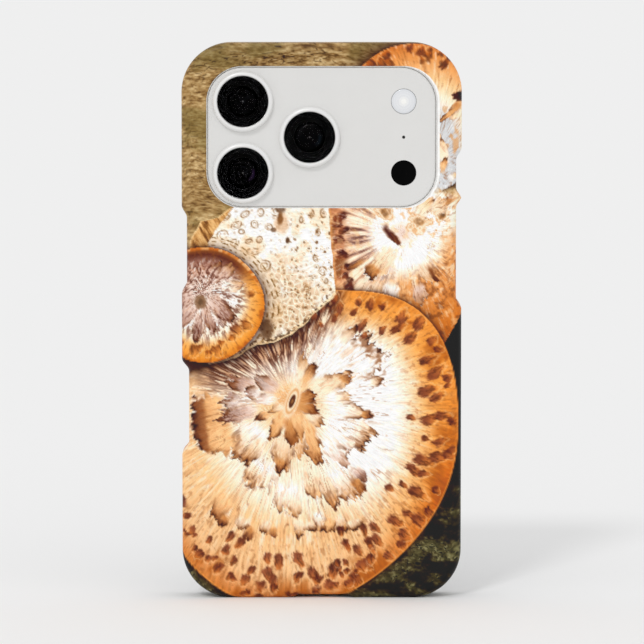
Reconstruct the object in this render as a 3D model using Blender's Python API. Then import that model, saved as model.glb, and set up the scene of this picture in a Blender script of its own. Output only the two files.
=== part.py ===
"""A smartphone in a printed hard case, standing on its bottom edge with its camera side to -Y.

Run with: blender --background --python part.py
The frame: metres, +Z up the phone, +X to the right of someone looking at the camera side, and the
origin at the centre of the footprint. Heights above the camera plateau are measured along -Y.
"""

import math

import bmesh
import bpy
from mathutils import Matrix, Vector

MM = 0.001

# Driving dimensions of the phone.
PHONE_WIDTH = 71.9 * MM
PHONE_HEIGHT = 150.0 * MM
PHONE_THICKNESS = 8.75 * MM
PHONE_CORNER = 11.1 * MM
PHONE_BACK_FILLET = 2.0 * MM
PHONE_FRONT_FILLET = 1.0 * MM

# Driving dimensions of the case.
CASE_WIDTH = 76.9 * MM
CASE_HEIGHT = 153.2 * MM
CASE_CORNER = 13.6 * MM
CASE_BACK_WALL = 2.2 * MM
CASE_BACK_FILLET = 1.8 * MM
CASE_FRONT_FILLET = 0.9 * MM
LIP_OVER_GLASS = 0.8 * MM
LIP_HOLD = 0.5 * MM
SIDE_CLEARANCE = 0.2 * MM
BACK_CLEARANCE = 0.25 * MM

# The camera plateau and what stands on it.
PLATEAU_WIDTH = 62.6 * MM
PLATEAU_HEIGHT = 38.3 * MM
PLATEAU_CORNER = 9.6 * MM
PLATEAU_FILLET = 0.6 * MM
PLATEAU_CENTRE_Z = 127.3 * MM
PLATEAU_SUNK_IN_CASE = 0.5 * MM
OPENING_GAP = 0.3 * MM
LENS_STANDS = 1.7 * MM
LENS_ROW = 9.8 * MM
LENS_COLUMN_X = -21.6 * MM
LENS_MIDDLE_X = -3.3 * MM
SENSOR_COLUMN_X = 22.5 * MM

# Planes along Y, worked out from the thicknesses. The lens tops and the case's lip bound the whole object.
DEPTH = LENS_STANDS - PLATEAU_SUNK_IN_CASE + CASE_BACK_WALL + BACK_CLEARANCE + PHONE_THICKNESS + LIP_OVER_GLASS
LENS_TOP_Y = -DEPTH / 2
PLATEAU_Y = LENS_TOP_Y + LENS_STANDS
CASE_BACK_Y = PLATEAU_Y - PLATEAU_SUNK_IN_CASE
CAVITY_Y = CASE_BACK_Y + CASE_BACK_WALL
PHONE_BACK_Y = CAVITY_Y + BACK_CLEARANCE
PHONE_FRONT_Y = PHONE_BACK_Y + PHONE_THICKNESS
CASE_FRONT_Y = PHONE_FRONT_Y + LIP_OVER_GLASS
MID_Y = (PHONE_BACK_Y + PHONE_FRONT_Y) / 2
CENTRE_Z = CASE_HEIGHT / 2
PHONE_BOTTOM_Z = (CASE_HEIGHT - PHONE_HEIGHT) / 2
OUTSIDE = 20 * MM

# The side cut-outs of the case: side (+1 is +X), centre height, length along the floor of the cut, depth.
CUT_OUTS = {
    "power": (-1, 96.4 * MM, 17.5 * MM, 1.4 * MM),
    "capture": (-1, 53.0 * MM, 19.8 * MM, 1.9 * MM),
    "action": (1, 117.3 * MM, 7.6 * MM, 1.5 * MM),
    "volume": (1, 95.6 * MM, 24.4 * MM, 1.5 * MM),
}
CUT_OUT_RAMP = 3.4 * MM
RAMP_STEPS = 8

# The buttons: side, centre height, length.
BUTTONS = {
    "power_button": (-1, 96.4 * MM, 11.4 * MM),
    "capture_button": (-1, 53.0 * MM, 16.8 * MM),
    "action_button": (1, 117.3 * MM, 6.0 * MM),
    "volume_up_button": (1, 101.5 * MM, 9.4 * MM),
    "volume_down_button": (1, 89.7 * MM, 9.4 * MM),
}
BUTTON_WIDTH = 3.0 * MM
BUTTON_PROUD = 0.35 * MM
BUTTON_INSIDE = 1.0 * MM
BUTTON_TRAVEL = 0.25 * MM
BUTTON_CLEARANCE = 0.15 * MM
BUTTON_Y = PHONE_BACK_Y + 4.5 * MM

# The screen side.
GLASS_EDGE = 0.8 * MM
GLASS_THICKNESS = 0.8 * MM
GLASS_CLEARANCE = 0.15 * MM
PANEL_THICKNESS = 0.35 * MM
PILL_WIDTH = 20.6 * MM
PILL_HEIGHT = 6.0 * MM
PILL_BELOW_TOP = 7.6 * MM
SENSOR_POCKET_DEPTH = 2.4 * MM
FRONT_CAMERA_X = -6.6 * MM
FRONT_SENSOR_X = 6.6 * MM

# The charging port and the bottom edge.
PORT_WIDTH = 9.0 * MM
PORT_HEIGHT = 3.2 * MM
PORT_DEPTH = 7.0 * MM
PORT_WALL = 0.28 * MM
BOTTOM_CUT_LENGTH = 11.2 * MM
BOTTOM_CUT_DEPTH = 0.8 * MM
PORT_WINDOW_WIDTH = 12.6 * MM
PORT_WINDOW_HEIGHT = 6.6 * MM
SPEAKER_SLOT_X = 19.0 * MM
SPEAKER_SLOT_WIDTH = 14.6 * MM
SPEAKER_SLOT_HEIGHT = 3.0 * MM
SPEAKER_HOLE_RADIUS = 0.75 * MM
SPEAKER_HOLE_PITCH = 2.5 * MM
SPEAKER_HOLES = 5
SPEAKER_HOLE_DEPTH = 1.6 * MM
SCREW_X = 9.4 * MM
SCREW_RADIUS = 0.75 * MM

ROUND_STEPS = 40
SMALL_ROUND_STEPS = 20


def material(name, colour, roughness, metallic=0.0, transmission=0.0):
    made = bpy.data.materials.new(name)
    made.use_nodes = True
    shader = made.node_tree.nodes["Principled BSDF"]
    shader.inputs["Base Color"].default_value = (*colour, 1.0)
    shader.inputs["Roughness"].default_value = roughness
    shader.inputs["Metallic"].default_value = metallic
    shader.inputs["Transmission Weight"].default_value = transmission
    return made


def solid(name, bm, finish):
    """Turns a bmesh into a named object with outward normals and smooth curves."""
    bmesh.ops.remove_doubles(bm, verts=bm.verts, dist=1e-6)
    bmesh.ops.recalc_face_normals(bm, faces=bm.faces)
    mesh = bpy.data.meshes.new(name)
    bm.to_mesh(mesh)
    bm.free()
    mesh.shade_smooth()
    mesh.set_sharp_from_angle(angle=math.radians(35))
    made = bpy.data.objects.new(name, mesh)
    bpy.context.scene.collection.objects.link(made)
    if finish is not None:
        mesh.materials.append(finish)
    return made


def rounded_rectangle(width, height, radius, centre=(0.0, 0.0), steps=8):
    """Corner points of a rectangle with round corners, counter-clockwise."""
    points = []
    for corner, (sx, sy) in enumerate(((1, 1), (-1, 1), (-1, -1), (1, -1))):
        for step in range(steps + 1):
            angle = math.pi / 2 * (corner + step / steps)
            u = centre[0] + sx * (width / 2 - radius) + radius * math.cos(angle)
            v = centre[1] + sy * (height / 2 - radius) + radius * math.sin(angle)
            points.append((u, v))
    return points


def prism(outline, low, high, plane, low_fillet=0.0, high_fillet=0.0, fillet_steps=3):
    """Extrudes an outline between two planes and rounds the rim at either end.

    plane "XZ" runs the prism along Y, "XY" along Z and "YZ" along X.
    """
    place = {
        "XZ": lambda u, v, w: (u, w, v),
        "XY": lambda u, v, w: (u, v, w),
        "YZ": lambda u, v, w: (w, u, v),
    }[plane]
    along = Vector(place(0, 0, high - low))
    bm = bmesh.new()
    face = bm.faces.new([bm.verts.new(place(u, v, low)) for u, v in outline])
    low_rim = list(face.edges)
    made = bmesh.ops.extrude_face_region(bm, geom=[face], use_keep_orig=True)["geom"]
    top = [item for item in made if isinstance(item, bmesh.types.BMVert)]
    bmesh.ops.translate(bm, verts=top, vec=along)
    high_rim = [edge for edge in bm.edges if all(vert in top for vert in edge.verts)]
    for rim, fillet in ((low_rim, low_fillet), (high_rim, high_fillet)):
        if fillet > 0:
            bmesh.ops.bevel(
                bm, geom=rim, offset=fillet, segments=fillet_steps, profile=0.5, affect="EDGES"
            )
    return bm


def lathe(profile, x, z, steps=ROUND_STEPS, closed=False, towards=-1):
    """Spins (radius, height above the plateau) points about an axis along Y through (x, z)."""
    bm = bmesh.new()
    verts = [bm.verts.new((x + radius, PLATEAU_Y + towards * height, z)) for radius, height in profile]
    pairs = list(zip(verts, verts[1:]))
    if closed:
        pairs.append((verts[-1], verts[0]))
    edges = [bm.edges.new(pair) for pair in pairs]
    bmesh.ops.spin(
        bm,
        geom=verts + edges,
        cent=(x, PLATEAU_Y, z),
        axis=(0, 1, 0),
        angle=2 * math.pi,
        steps=steps,
        use_merge=True,
    )
    return bm


def cylinder(radius, centre, length, axis, steps=SMALL_ROUND_STEPS):
    """A plain round bar along X, Y or Z, centred on a point."""
    turn = {
        "X": Matrix.Rotation(math.pi / 2, 4, "Y"),
        "Y": Matrix.Rotation(math.pi / 2, 4, "X"),
        "Z": Matrix.Identity(4),
    }[axis]
    bm = bmesh.new()
    bmesh.ops.create_cone(
        bm,
        cap_ends=True,
        segments=steps,
        radius1=radius,
        radius2=radius,
        depth=length,
        matrix=Matrix.Translation(centre) @ turn,
    )
    return bm


def cutter(name, bm):
    made = solid(name, bm, None)
    made.hide_render = True
    made.display_type = "WIRE"
    return made


def apply_tool(target, tool, operation="DIFFERENCE"):
    modifier = target.modifiers.new(tool.name, "BOOLEAN")
    modifier.operation = operation
    modifier.solver = "EXACT"
    modifier.object = tool


def ramped_cut(centre, length, depth, face, side):
    """Outline of an edge cut with smooth S-shaped ends, as (across, along) points.

    face is the outer face that it starts from, and side the way that the face looks.
    """
    points = []
    half = length / 2
    for step in range(RAMP_STEPS + 1):
        share = step / RAMP_STEPS
        drop = depth * (1 - math.cos(math.pi * share)) / 2
        points.append((face - side * drop, centre - half - CUT_OUT_RAMP * (1 - share)))
    points += [(across, 2 * centre - along) for across, along in reversed(points)]
    outer = face + side * OUTSIDE
    return [(outer, points[0][1]), *points, (outer, points[-1][1])]


def build_case(finish):
    outline = rounded_rectangle(CASE_WIDTH, CASE_HEIGHT, CASE_CORNER, (0, CENTRE_Z))
    shell = solid(
        "case_shell",
        prism(outline, CASE_BACK_Y, CASE_FRONT_Y, "XZ", CASE_BACK_FILLET, CASE_FRONT_FILLET),
        finish,
    )
    inner_corner = PHONE_CORNER + SIDE_CLEARANCE
    cavity = rounded_rectangle(
        PHONE_WIDTH + 2 * SIDE_CLEARANCE, PHONE_HEIGHT + 2 * SIDE_CLEARANCE, inner_corner, (0, CENTRE_Z)
    )
    lip_plane = PHONE_FRONT_Y + SIDE_CLEARANCE
    apply_tool(shell, cutter("cavity_tool", prism(cavity, CAVITY_Y, lip_plane, "XZ", CASE_BACK_FILLET)))
    mouth = rounded_rectangle(
        PHONE_WIDTH - 2 * LIP_HOLD, PHONE_HEIGHT - 2 * LIP_HOLD, PHONE_CORNER - LIP_HOLD, (0, CENTRE_Z)
    )
    apply_tool(shell, cutter("mouth_tool", prism(mouth, lip_plane - MM, OUTSIDE, "XZ")))
    opening = rounded_rectangle(
        PLATEAU_WIDTH + 2 * OPENING_GAP,
        PLATEAU_HEIGHT + 2 * OPENING_GAP,
        PLATEAU_CORNER + OPENING_GAP,
        (0, PLATEAU_CENTRE_Z),
    )
    apply_tool(shell, cutter("opening_tool", prism(opening, -OUTSIDE, CAVITY_Y + MM, "XZ")))
    for name, (side, centre, length, depth) in CUT_OUTS.items():
        scoop = ramped_cut(centre, length, depth, side * CASE_WIDTH / 2, side)
        apply_tool(shell, cutter(f"{name}_scoop_tool", prism(scoop, -OUTSIDE, OUTSIDE, "XZ")))
        window = rounded_rectangle(OUTSIDE, length, MM, (side * CASE_WIDTH / 2, centre), steps=3)
        window_tool = prism(window, CAVITY_Y + MM / 2, OUTSIDE, "XZ")
        apply_tool(shell, cutter(f"{name}_window_tool", window_tool))
    build_case_bottom(shell)
    return shell


def build_case_bottom(shell):
    """The shallow scoop round the port, the port's window and the speaker slots."""
    scoop = [(along, across) for across, along in ramped_cut(0, BOTTOM_CUT_LENGTH, BOTTOM_CUT_DEPTH, 0, -1)]
    apply_tool(shell, cutter("port_scoop_tool", prism(scoop, -OUTSIDE, OUTSIDE, "XZ")))
    windows = {
        "port": (0, PORT_WINDOW_WIDTH, PORT_WINDOW_HEIGHT),
        "left_speaker": (-SPEAKER_SLOT_X, SPEAKER_SLOT_WIDTH, SPEAKER_SLOT_HEIGHT),
        "right_speaker": (SPEAKER_SLOT_X, SPEAKER_SLOT_WIDTH, SPEAKER_SLOT_HEIGHT),
    }
    for name, (x, width, height) in windows.items():
        outline = rounded_rectangle(width, height, 0.49 * height, (x, MID_Y), steps=4)
        tool = prism(outline, -OUTSIDE, PHONE_BOTTOM_Z + MM, "XY")
        apply_tool(shell, cutter(f"{name}_window_tool", tool))


# The lens assemblies: profiles as (radius, height above the plateau), in millimetres.
RING_PROFILE = (
    (7.4, -1.5),
    (7.4, 0.1),
    (8.36, 0.1),
    (8.34, 0.55),
    (8.12, 1.25),
    (7.86, 1.6),
    (7.6, 1.7),
    (7.25, 1.7),
    (7.1, 1.55),
    (7.1, 0.75),
    (6.4, 0.75),
    (6.4, -1.5),
)
COVER_GLASS_PROFILE = ((0, 0.85), (6.9, 0.85), (6.95, 0.9), (6.95, 1.35), (6.8, 1.45), (0, 1.45))
BARREL_PROFILE = (
    (6.1, 0.6),
    (5.6, 0.6),
    (5.2, 0.2),
    (4.7, 0.2),
    (4.3, -0.5),
    (4.3, -1.9),
    (2.6, -2.3),
    (0, -2.3),
    (0, -3.6),
    (6.1, -3.6),
)
ELEMENT_PROFILE = ((0, -1.7), (3.9, -1.7), (4.1, -1.5), (4.1, -1.0), (3.4, -0.45), (2.3, -0.05), (1.1, 0.12), (0, 0.17))
LENS_BORE_PROFILE = ((0, -4.0), (6.3, -4.0), (6.3, -1.7), (7.6, -1.7), (7.6, 3.0), (0, 3.0))
LENSES = {
    "upper": (LENS_COLUMN_X, PLATEAU_CENTRE_Z + LENS_ROW),
    "middle": (LENS_MIDDLE_X, PLATEAU_CENTRE_Z),
    "lower": (LENS_COLUMN_X, PLATEAU_CENTRE_Z - LENS_ROW),
}

# The flash, the ranging sensor and the microphone beside the lenses.
FLASH_Z = PLATEAU_CENTRE_Z + LENS_ROW
RANGING_Z = PLATEAU_CENTRE_Z - LENS_ROW
WINDOW_BORE_PROFILE = ((0, -2.2), (2.8, -2.2), (2.8, -0.95), (3.5, -0.95), (3.5, 3.0), (0, 3.0))
FLASH_PROFILE = ((0, -0.8), (3.4, -0.8), (3.4, -0.05), (3.2, 0.1), (2.2, 0.2), (0, 0.25))
RANGING_PROFILE = ((0, -0.8), (3.4, -0.8), (3.4, -0.1), (3.3, 0.0), (0, 0.0))
RANGING_CORE_PROFILE = ((0, -2.05), (2.6, -2.05), (2.6, -1.05), (0, -1.05))
MIC_RADIUS = 0.45 * MM
MIC_DEPTH = 1.3 * MM
MIC_MESH_RADIUS = 0.34 * MM
MIC_MESH_THICKNESS = 0.3 * MM


def in_metres(profile):
    return [(radius * MM, height * MM) for radius, height in profile]


def build_camera(finishes):
    for name, (x, z) in LENSES.items():
        ring = lathe(in_metres(RING_PROFILE), x, z, closed=True)
        solid(f"lens_ring_{name}", ring, finishes["ring"])
        glass = lathe(in_metres(COVER_GLASS_PROFILE), x, z)
        solid(f"lens_glass_{name}", glass, finishes["clear"])
        barrel = lathe(in_metres(BARREL_PROFILE), x, z, closed=True, steps=32)
        solid(f"lens_barrel_{name}", barrel, finishes["black"])
        element = lathe(in_metres(ELEMENT_PROFILE), x, z, steps=28)
        solid(f"lens_element_{name}", element, finishes["coated"])
    flash = lathe(in_metres(FLASH_PROFILE), SENSOR_COLUMN_X, FLASH_Z, steps=32)
    solid("flash_diffuser", flash, finishes["diffuser"])
    led_side = 2.6 * MM
    led_outline = rounded_rectangle(led_side, led_side, 0.4 * MM, (SENSOR_COLUMN_X, FLASH_Z), steps=2)
    led_top = PLATEAU_Y + 1.1 * MM
    solid("flash_led", prism(led_outline, led_top, led_top + MM, "XZ"), finishes["led"])
    ranging = lathe(in_metres(RANGING_PROFILE), SENSOR_COLUMN_X, RANGING_Z, steps=32)
    solid("ranging_window", ranging, finishes["dark_glass"])
    core = lathe(in_metres(RANGING_CORE_PROFILE), SENSOR_COLUMN_X, RANGING_Z, steps=SMALL_ROUND_STEPS)
    solid("ranging_sensor", core, finishes["black"])
    mesh_y = PLATEAU_Y + MIC_DEPTH - MIC_MESH_THICKNESS
    mesh = cylinder(MIC_MESH_RADIUS, (SENSOR_COLUMN_X, mesh_y, PLATEAU_CENTRE_Z), MIC_MESH_THICKNESS, "Y", 10)
    solid("rear_microphone_mesh", mesh, finishes["black"])


def build_frame(finish):
    """The phone's frame with its raised plateau, as one solid with a pocket for each piece set in it."""
    outline = rounded_rectangle(PHONE_WIDTH, PHONE_HEIGHT, PHONE_CORNER, (0, CENTRE_Z))
    rim_y = PHONE_FRONT_Y - 0.1 * MM
    body = prism(outline, PHONE_BACK_Y, rim_y, "XZ", PHONE_BACK_FILLET, PHONE_FRONT_FILLET / 2)
    frame = solid("phone_frame", body, finish)
    plateau_outline = rounded_rectangle(
        PLATEAU_WIDTH, PLATEAU_HEIGHT, PLATEAU_CORNER, (0, PLATEAU_CENTRE_Z), steps=10
    )
    plateau = prism(plateau_outline, PLATEAU_Y, PHONE_BACK_Y + 2 * MM, "XZ", PLATEAU_FILLET)
    apply_tool(frame, cutter("plateau_tool", plateau), "UNION")
    for name, (x, z) in LENSES.items():
        bore = lathe(in_metres(LENS_BORE_PROFILE), x, z)
        apply_tool(frame, cutter(f"{name}_bore_tool", bore))
    for name, z in (("flash", FLASH_Z), ("ranging", RANGING_Z)):
        bore = lathe(in_metres(WINDOW_BORE_PROFILE), SENSOR_COLUMN_X, z, steps=32)
        apply_tool(frame, cutter(f"{name}_bore_tool", bore))
    mic = cylinder(MIC_RADIUS, (SENSOR_COLUMN_X, PLATEAU_Y, PLATEAU_CENTRE_Z), 2 * MIC_DEPTH, "Y", 14)
    apply_tool(frame, cutter("mic_bore_tool", mic))
    cut_screen_seat(frame)
    cut_back_seat(frame)
    for name, (side, z, length) in BUTTONS.items():
        outline = button_outline(z, length, BUTTON_CLEARANCE)
        face = side * PHONE_WIDTH / 2
        depth = BUTTON_INSIDE + BUTTON_TRAVEL + BUTTON_CLEARANCE
        ends = sorted((face - side * depth, face + side * MM))
        apply_tool(frame, cutter(f"{name}_pocket_tool", prism(outline, *ends, "YZ")))
    cut_bottom(frame)
    return frame


def button_outline(z, length, grow=0.0):
    width = BUTTON_WIDTH + 2 * grow
    return rounded_rectangle(width, length + 2 * grow, 0.49 * width, (BUTTON_Y, z), steps=5)


def screen_outline(inset):
    return rounded_rectangle(
        PHONE_WIDTH - 2 * inset, PHONE_HEIGHT - 2 * inset, PHONE_CORNER - inset, (0, CENTRE_Z)
    )


PILL_Z = PHONE_BOTTOM_Z + PHONE_HEIGHT - PILL_BELOW_TOP
PANEL_BACK_Y = PHONE_FRONT_Y - GLASS_THICKNESS - GLASS_CLEARANCE - PANEL_THICKNESS
SEAT_Y = PANEL_BACK_Y - GLASS_CLEARANCE
BACK_PANEL_WIDTH = 61.0 * MM
BACK_PANEL_HEIGHT = 96.0 * MM
BACK_PANEL_CORNER = 8.0 * MM
BACK_PANEL_Z = 55.0 * MM
BACK_PANEL_THICKNESS = 0.7 * MM


def pill_outline(grow=0.0):
    height = PILL_HEIGHT + 2 * grow
    return rounded_rectangle(PILL_WIDTH + 2 * grow, height, 0.49 * height, (0, PILL_Z), steps=6)


def cut_screen_seat(frame):
    seat = prism(screen_outline(GLASS_EDGE), SEAT_Y, OUTSIDE, "XZ")
    apply_tool(frame, cutter("screen_seat_tool", seat))
    pocket = prism(pill_outline(), SEAT_Y - SENSOR_POCKET_DEPTH, OUTSIDE, "XZ")
    apply_tool(frame, cutter("front_sensor_pocket_tool", pocket))


def back_panel_outline(inset=0.0):
    return rounded_rectangle(
        BACK_PANEL_WIDTH - 2 * inset,
        BACK_PANEL_HEIGHT - 2 * inset,
        BACK_PANEL_CORNER - inset,
        (0, BACK_PANEL_Z),
        steps=5,
    )


def cut_back_seat(frame):
    seat_y = PHONE_BACK_Y + BACK_PANEL_THICKNESS + GLASS_CLEARANCE
    seat = prism(back_panel_outline(), PHONE_BACK_Y - MM, seat_y, "XZ")
    apply_tool(frame, cutter("back_seat_tool", seat))


def speaker_hole_places():
    for side in (-1, 1):
        for index in range(SPEAKER_HOLES):
            offset = (index - (SPEAKER_HOLES - 1) / 2) * SPEAKER_HOLE_PITCH
            yield f"{'left' if side < 0 else 'right'}_{index + 1}", side * SPEAKER_SLOT_X + offset


def port_outline(inset=0.0):
    height = PORT_HEIGHT - 2 * inset
    return rounded_rectangle(PORT_WIDTH - 2 * inset, height, 0.49 * height, (0, MID_Y), steps=5)


def cut_bottom(frame):
    port = prism(port_outline(), 0, PHONE_BOTTOM_Z + PORT_DEPTH, "XY")
    apply_tool(frame, cutter("port_tool", port))
    for name, x in speaker_hole_places():
        hole = cylinder(SPEAKER_HOLE_RADIUS, (x, MID_Y, PHONE_BOTTOM_Z), 2 * SPEAKER_HOLE_DEPTH, "Z", 12)
        apply_tool(frame, cutter(f"speaker_{name}_tool", hole))
    for side in (-1, 1):
        pocket = cylinder(SCREW_RADIUS + 0.15 * MM, (side * SCREW_X, MID_Y, PHONE_BOTTOM_Z), 3 * MM, "Z", 16)
        apply_tool(frame, cutter(f"screw_pocket_{side}_tool", pocket))


def build_screen(finishes):
    glass = prism(
        screen_outline(GLASS_EDGE + GLASS_CLEARANCE),
        PHONE_FRONT_Y - GLASS_THICKNESS,
        PHONE_FRONT_Y,
        "XZ",
        high_fillet=0.35 * MM,
        fillet_steps=2,
    )
    solid("screen_glass", glass, finishes["clear"])
    panel_outline = screen_outline(GLASS_EDGE + 2 * GLASS_CLEARANCE)
    panel_front = PANEL_BACK_Y + PANEL_THICKNESS
    panel = solid("display_panel", prism(panel_outline, PANEL_BACK_Y, panel_front, "XZ"), finishes["display"])
    hole = prism(pill_outline(-GLASS_CLEARANCE), PANEL_BACK_Y - MM, PHONE_FRONT_Y, "XZ")
    apply_tool(panel, cutter("pill_tool", hole))
    for name, x, radius in (("front_camera", FRONT_CAMERA_X, 2.1 * MM), ("front_sensor", FRONT_SENSOR_X, 1.7 * MM)):
        length = SENSOR_POCKET_DEPTH - 0.6 * MM
        centre = (x, SEAT_Y - 0.3 * MM - length / 2, PILL_Z)
        solid(name, cylinder(radius, centre, length, "Y", 24), finishes["black"])


def build_back_panel(finish):
    low = PHONE_BACK_Y
    panel = prism(back_panel_outline(GLASS_CLEARANCE), low, low + BACK_PANEL_THICKNESS, "XZ")
    solid("back_panel", panel, finish)


def build_buttons(finish):
    """Each button hangs from an empty at its own centre on the phone's side face."""
    for name, (side, z, length) in BUTTONS.items():
        ends = (-BUTTON_INSIDE, BUTTON_PROUD) if side > 0 else (-BUTTON_PROUD, BUTTON_INSIDE)
        fillets = (0.0, 0.2 * MM) if side > 0 else (0.2 * MM, 0.0)
        body = prism(button_outline(z, length), *ends, "YZ", *fillets, fillet_steps=2)
        place = Vector((side * PHONE_WIDTH / 2, BUTTON_Y, z))
        bmesh.ops.translate(body, verts=body.verts, vec=(0, -BUTTON_Y, -z))
        button = solid(name, body, finish)
        guide = bpy.data.objects.new(f"{name}_guide", None)
        guide.location = place
        bpy.context.scene.collection.objects.link(guide)
        button.parent = guide


def build_bottom_pieces(finishes):
    low = PHONE_BOTTOM_Z + 0.1 * MM
    liner = solid(
        "port_liner",
        prism(port_outline(0.08 * MM), low, PHONE_BOTTOM_Z + PORT_DEPTH - 0.1 * MM, "XY"),
        finishes["steel"],
    )
    mouth = prism(port_outline(PORT_WALL + 0.08 * MM), 0, PHONE_BOTTOM_Z + PORT_DEPTH - 0.5 * MM, "XY")
    apply_tool(liner, cutter("liner_mouth_tool", mouth))
    tongue_outline = rounded_rectangle(6.7 * MM, 0.7 * MM, 0.2 * MM, (0, MID_Y), steps=2)
    tongue_low = PHONE_BOTTOM_Z + 1.2 * MM
    tongue_high = PHONE_BOTTOM_Z + PORT_DEPTH - 0.7 * MM
    solid("port_tongue", prism(tongue_outline, tongue_low, tongue_high, "XY"), finishes["black"])
    for name, side in (("screw_left", -1), ("screw_right", 1)):
        centre = (side * SCREW_X, MID_Y, PHONE_BOTTOM_Z + 0.8 * MM)
        solid(name, cylinder(SCREW_RADIUS, centre, 1.1 * MM, "Z", 16), finishes["steel"])


def main():
    for old in list(bpy.data.objects):
        bpy.data.objects.remove(old)
    finishes = {
        "print": material("printed_shell", (0.78, 0.55, 0.33), 0.35),
        "metal": material("phone_metal", (0.86, 0.86, 0.86), 0.4, 0.6),
        "ring": material("ring_metal", (0.88, 0.88, 0.89), 0.3, 0.7),
        "clear": material("clear_glass", (1.0, 1.0, 1.0), 0.02, transmission=1.0),
        "dark_glass": material("dark_glass", (0.01, 0.01, 0.012), 0.1),
        "coated": material("coated_lens", (0.02, 0.02, 0.05), 0.05),
        "black": material("black_plastic", (0.01, 0.01, 0.01), 0.6),
        "diffuser": material("flash_diffuser", (0.9, 0.9, 0.9), 0.3, transmission=0.5),
        "led": material("led_phosphor", (0.95, 0.85, 0.5), 0.5),
        "display": material("display", (0.005, 0.005, 0.007), 0.15),
        "panel": material("back_glass", (0.85, 0.85, 0.86), 0.4),
        "steel": material("steel", (0.6, 0.6, 0.62), 0.35, 1.0),
    }
    build_case(finishes["print"])
    build_frame(finishes["metal"])
    build_camera(finishes)
    build_screen(finishes)
    build_back_panel(finishes["panel"])
    build_buttons(finishes["metal"])
    build_bottom_pieces(finishes)


main()
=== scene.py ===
"""Looks for a smartphone that stands in a printed hard case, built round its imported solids.

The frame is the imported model's own: metres, +Z up the phone, the printed side towards -Y. The script is laid
out as an add-on: one operator makes each group of pieces, and main() calls them in order. The print is
painted by formulas, from noise, the growth rings of each cap and short tables of marks, and is kept as a
colour and a growth attribute on the case's points.
"""

import math

import bmesh
import bpy
import numpy as np
from bpy.props import FloatProperty, FloatVectorProperty, IntProperty, PointerProperty
from bpy.types import Operator, Panel, PropertyGroup
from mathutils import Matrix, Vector


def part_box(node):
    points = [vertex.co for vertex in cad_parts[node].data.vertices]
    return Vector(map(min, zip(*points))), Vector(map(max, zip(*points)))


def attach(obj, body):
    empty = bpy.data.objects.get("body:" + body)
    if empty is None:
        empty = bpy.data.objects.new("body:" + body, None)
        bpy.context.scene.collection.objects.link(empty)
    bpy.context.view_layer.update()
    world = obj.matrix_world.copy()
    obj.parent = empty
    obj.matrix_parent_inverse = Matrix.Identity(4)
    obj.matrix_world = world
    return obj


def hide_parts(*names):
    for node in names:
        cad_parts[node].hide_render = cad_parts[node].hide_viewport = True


bl_info = {
    "name": "Cased phone looks",
    "version": (1, 0, 0),
    "blender": (4, 5, 0),
    "location": "View3D > Sidebar > Cased Phone",
    "description": "Makes the printed case, lenses, glass and metal round the packed solids",
    "category": "Object",
}

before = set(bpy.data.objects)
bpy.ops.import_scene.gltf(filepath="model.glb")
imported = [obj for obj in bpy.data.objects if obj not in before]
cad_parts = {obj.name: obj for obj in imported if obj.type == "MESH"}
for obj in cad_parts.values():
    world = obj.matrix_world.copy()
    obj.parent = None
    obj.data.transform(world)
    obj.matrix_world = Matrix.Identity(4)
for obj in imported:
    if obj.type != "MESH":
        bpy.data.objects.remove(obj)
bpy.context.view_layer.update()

MM = 0.001
MAIN_BODY = "phone_in_case"

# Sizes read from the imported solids.
CASE_LOW, CASE_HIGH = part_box("case_shell")
PHONE_LOW, PHONE_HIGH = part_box("phone_frame")
HALF_WIDTH = (CASE_HIGH.x - CASE_LOW.x) / 2
CASE_TOP = CASE_HIGH.z
CENTRE_Z = CASE_TOP / 2
BACK_Y, FRONT_Y = CASE_LOW.y, CASE_HIGH.y
PLATEAU_Y = PHONE_LOW.y
PHONE_FRONT_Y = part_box("screen_glass")[1].y
PHONE_MIDDLE_Y = (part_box("back_panel")[0].y + PHONE_FRONT_Y) / 2
LENS_CENTRES = {
    name: sum(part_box(f"lens_glass_{name}"), Vector()) / 2 for name in ("upper", "middle", "lower")
}
FLASH_CENTRE = sum(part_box("flash_diffuser"), Vector()) / 2
RANGING_CENTRE = sum(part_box("ranging_window"), Vector()) / 2

# The case, as its solid has it.
CASE_CORNER = 13.6 * MM
BACK_FILLET = 1.8 * MM
FRONT_FILLET = 0.9 * MM
CAVITY_Y = BACK_Y + 2.2 * MM
CAVITY_FILLET = 1.8 * MM
UNDER_LIP_Y = PHONE_FRONT_Y + 0.2 * MM
LIP_EDGE = 0.15 * MM
WALL_INSET = (2.3 * MM, 1.4 * MM)
LIP_INSET = (3.0 * MM, 2.1 * MM)
WINDOW_FLOOR_Y = CAVITY_Y + 0.5 * MM
# The camera opening: half width, half height and corner radius, then its middle's height and its rounding.
OPENING = (31.6 * MM, 19.45 * MM, 9.9 * MM)
OPENING_Z = 127.3 * MM
OPENING_ROUND = 0.3 * MM
# The length of the ramp at each end of a cut in the case's edge.
RAMP = 3.4 * MM
# Each side cut: side, centre height, length of its floor, depth.
SIDE_CUTS = (
    (-1, 96.4 * MM, 17.5 * MM, 1.4 * MM),
    (-1, 53.0 * MM, 19.8 * MM, 1.9 * MM),
    (1, 117.3 * MM, 7.6 * MM, 1.5 * MM),
    (1, 95.6 * MM, 24.4 * MM, 1.5 * MM),
)
# The cut over the port: half the length of its floor, and its depth; then how far up the back bends over it.
PORT_CUT = (5.6 * MM, 0.8 * MM)
PORT_FADE = 6 * MM
# Each hole through the bottom wall: centre, width, height.
BOTTOM_HOLES = (
    (0.0, 12.6 * MM, 6.6 * MM),
    (-19.0 * MM, 14.6 * MM, 3.0 * MM),
    (19.0 * MM, 14.6 * MM, 3.0 * MM),
)
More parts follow.
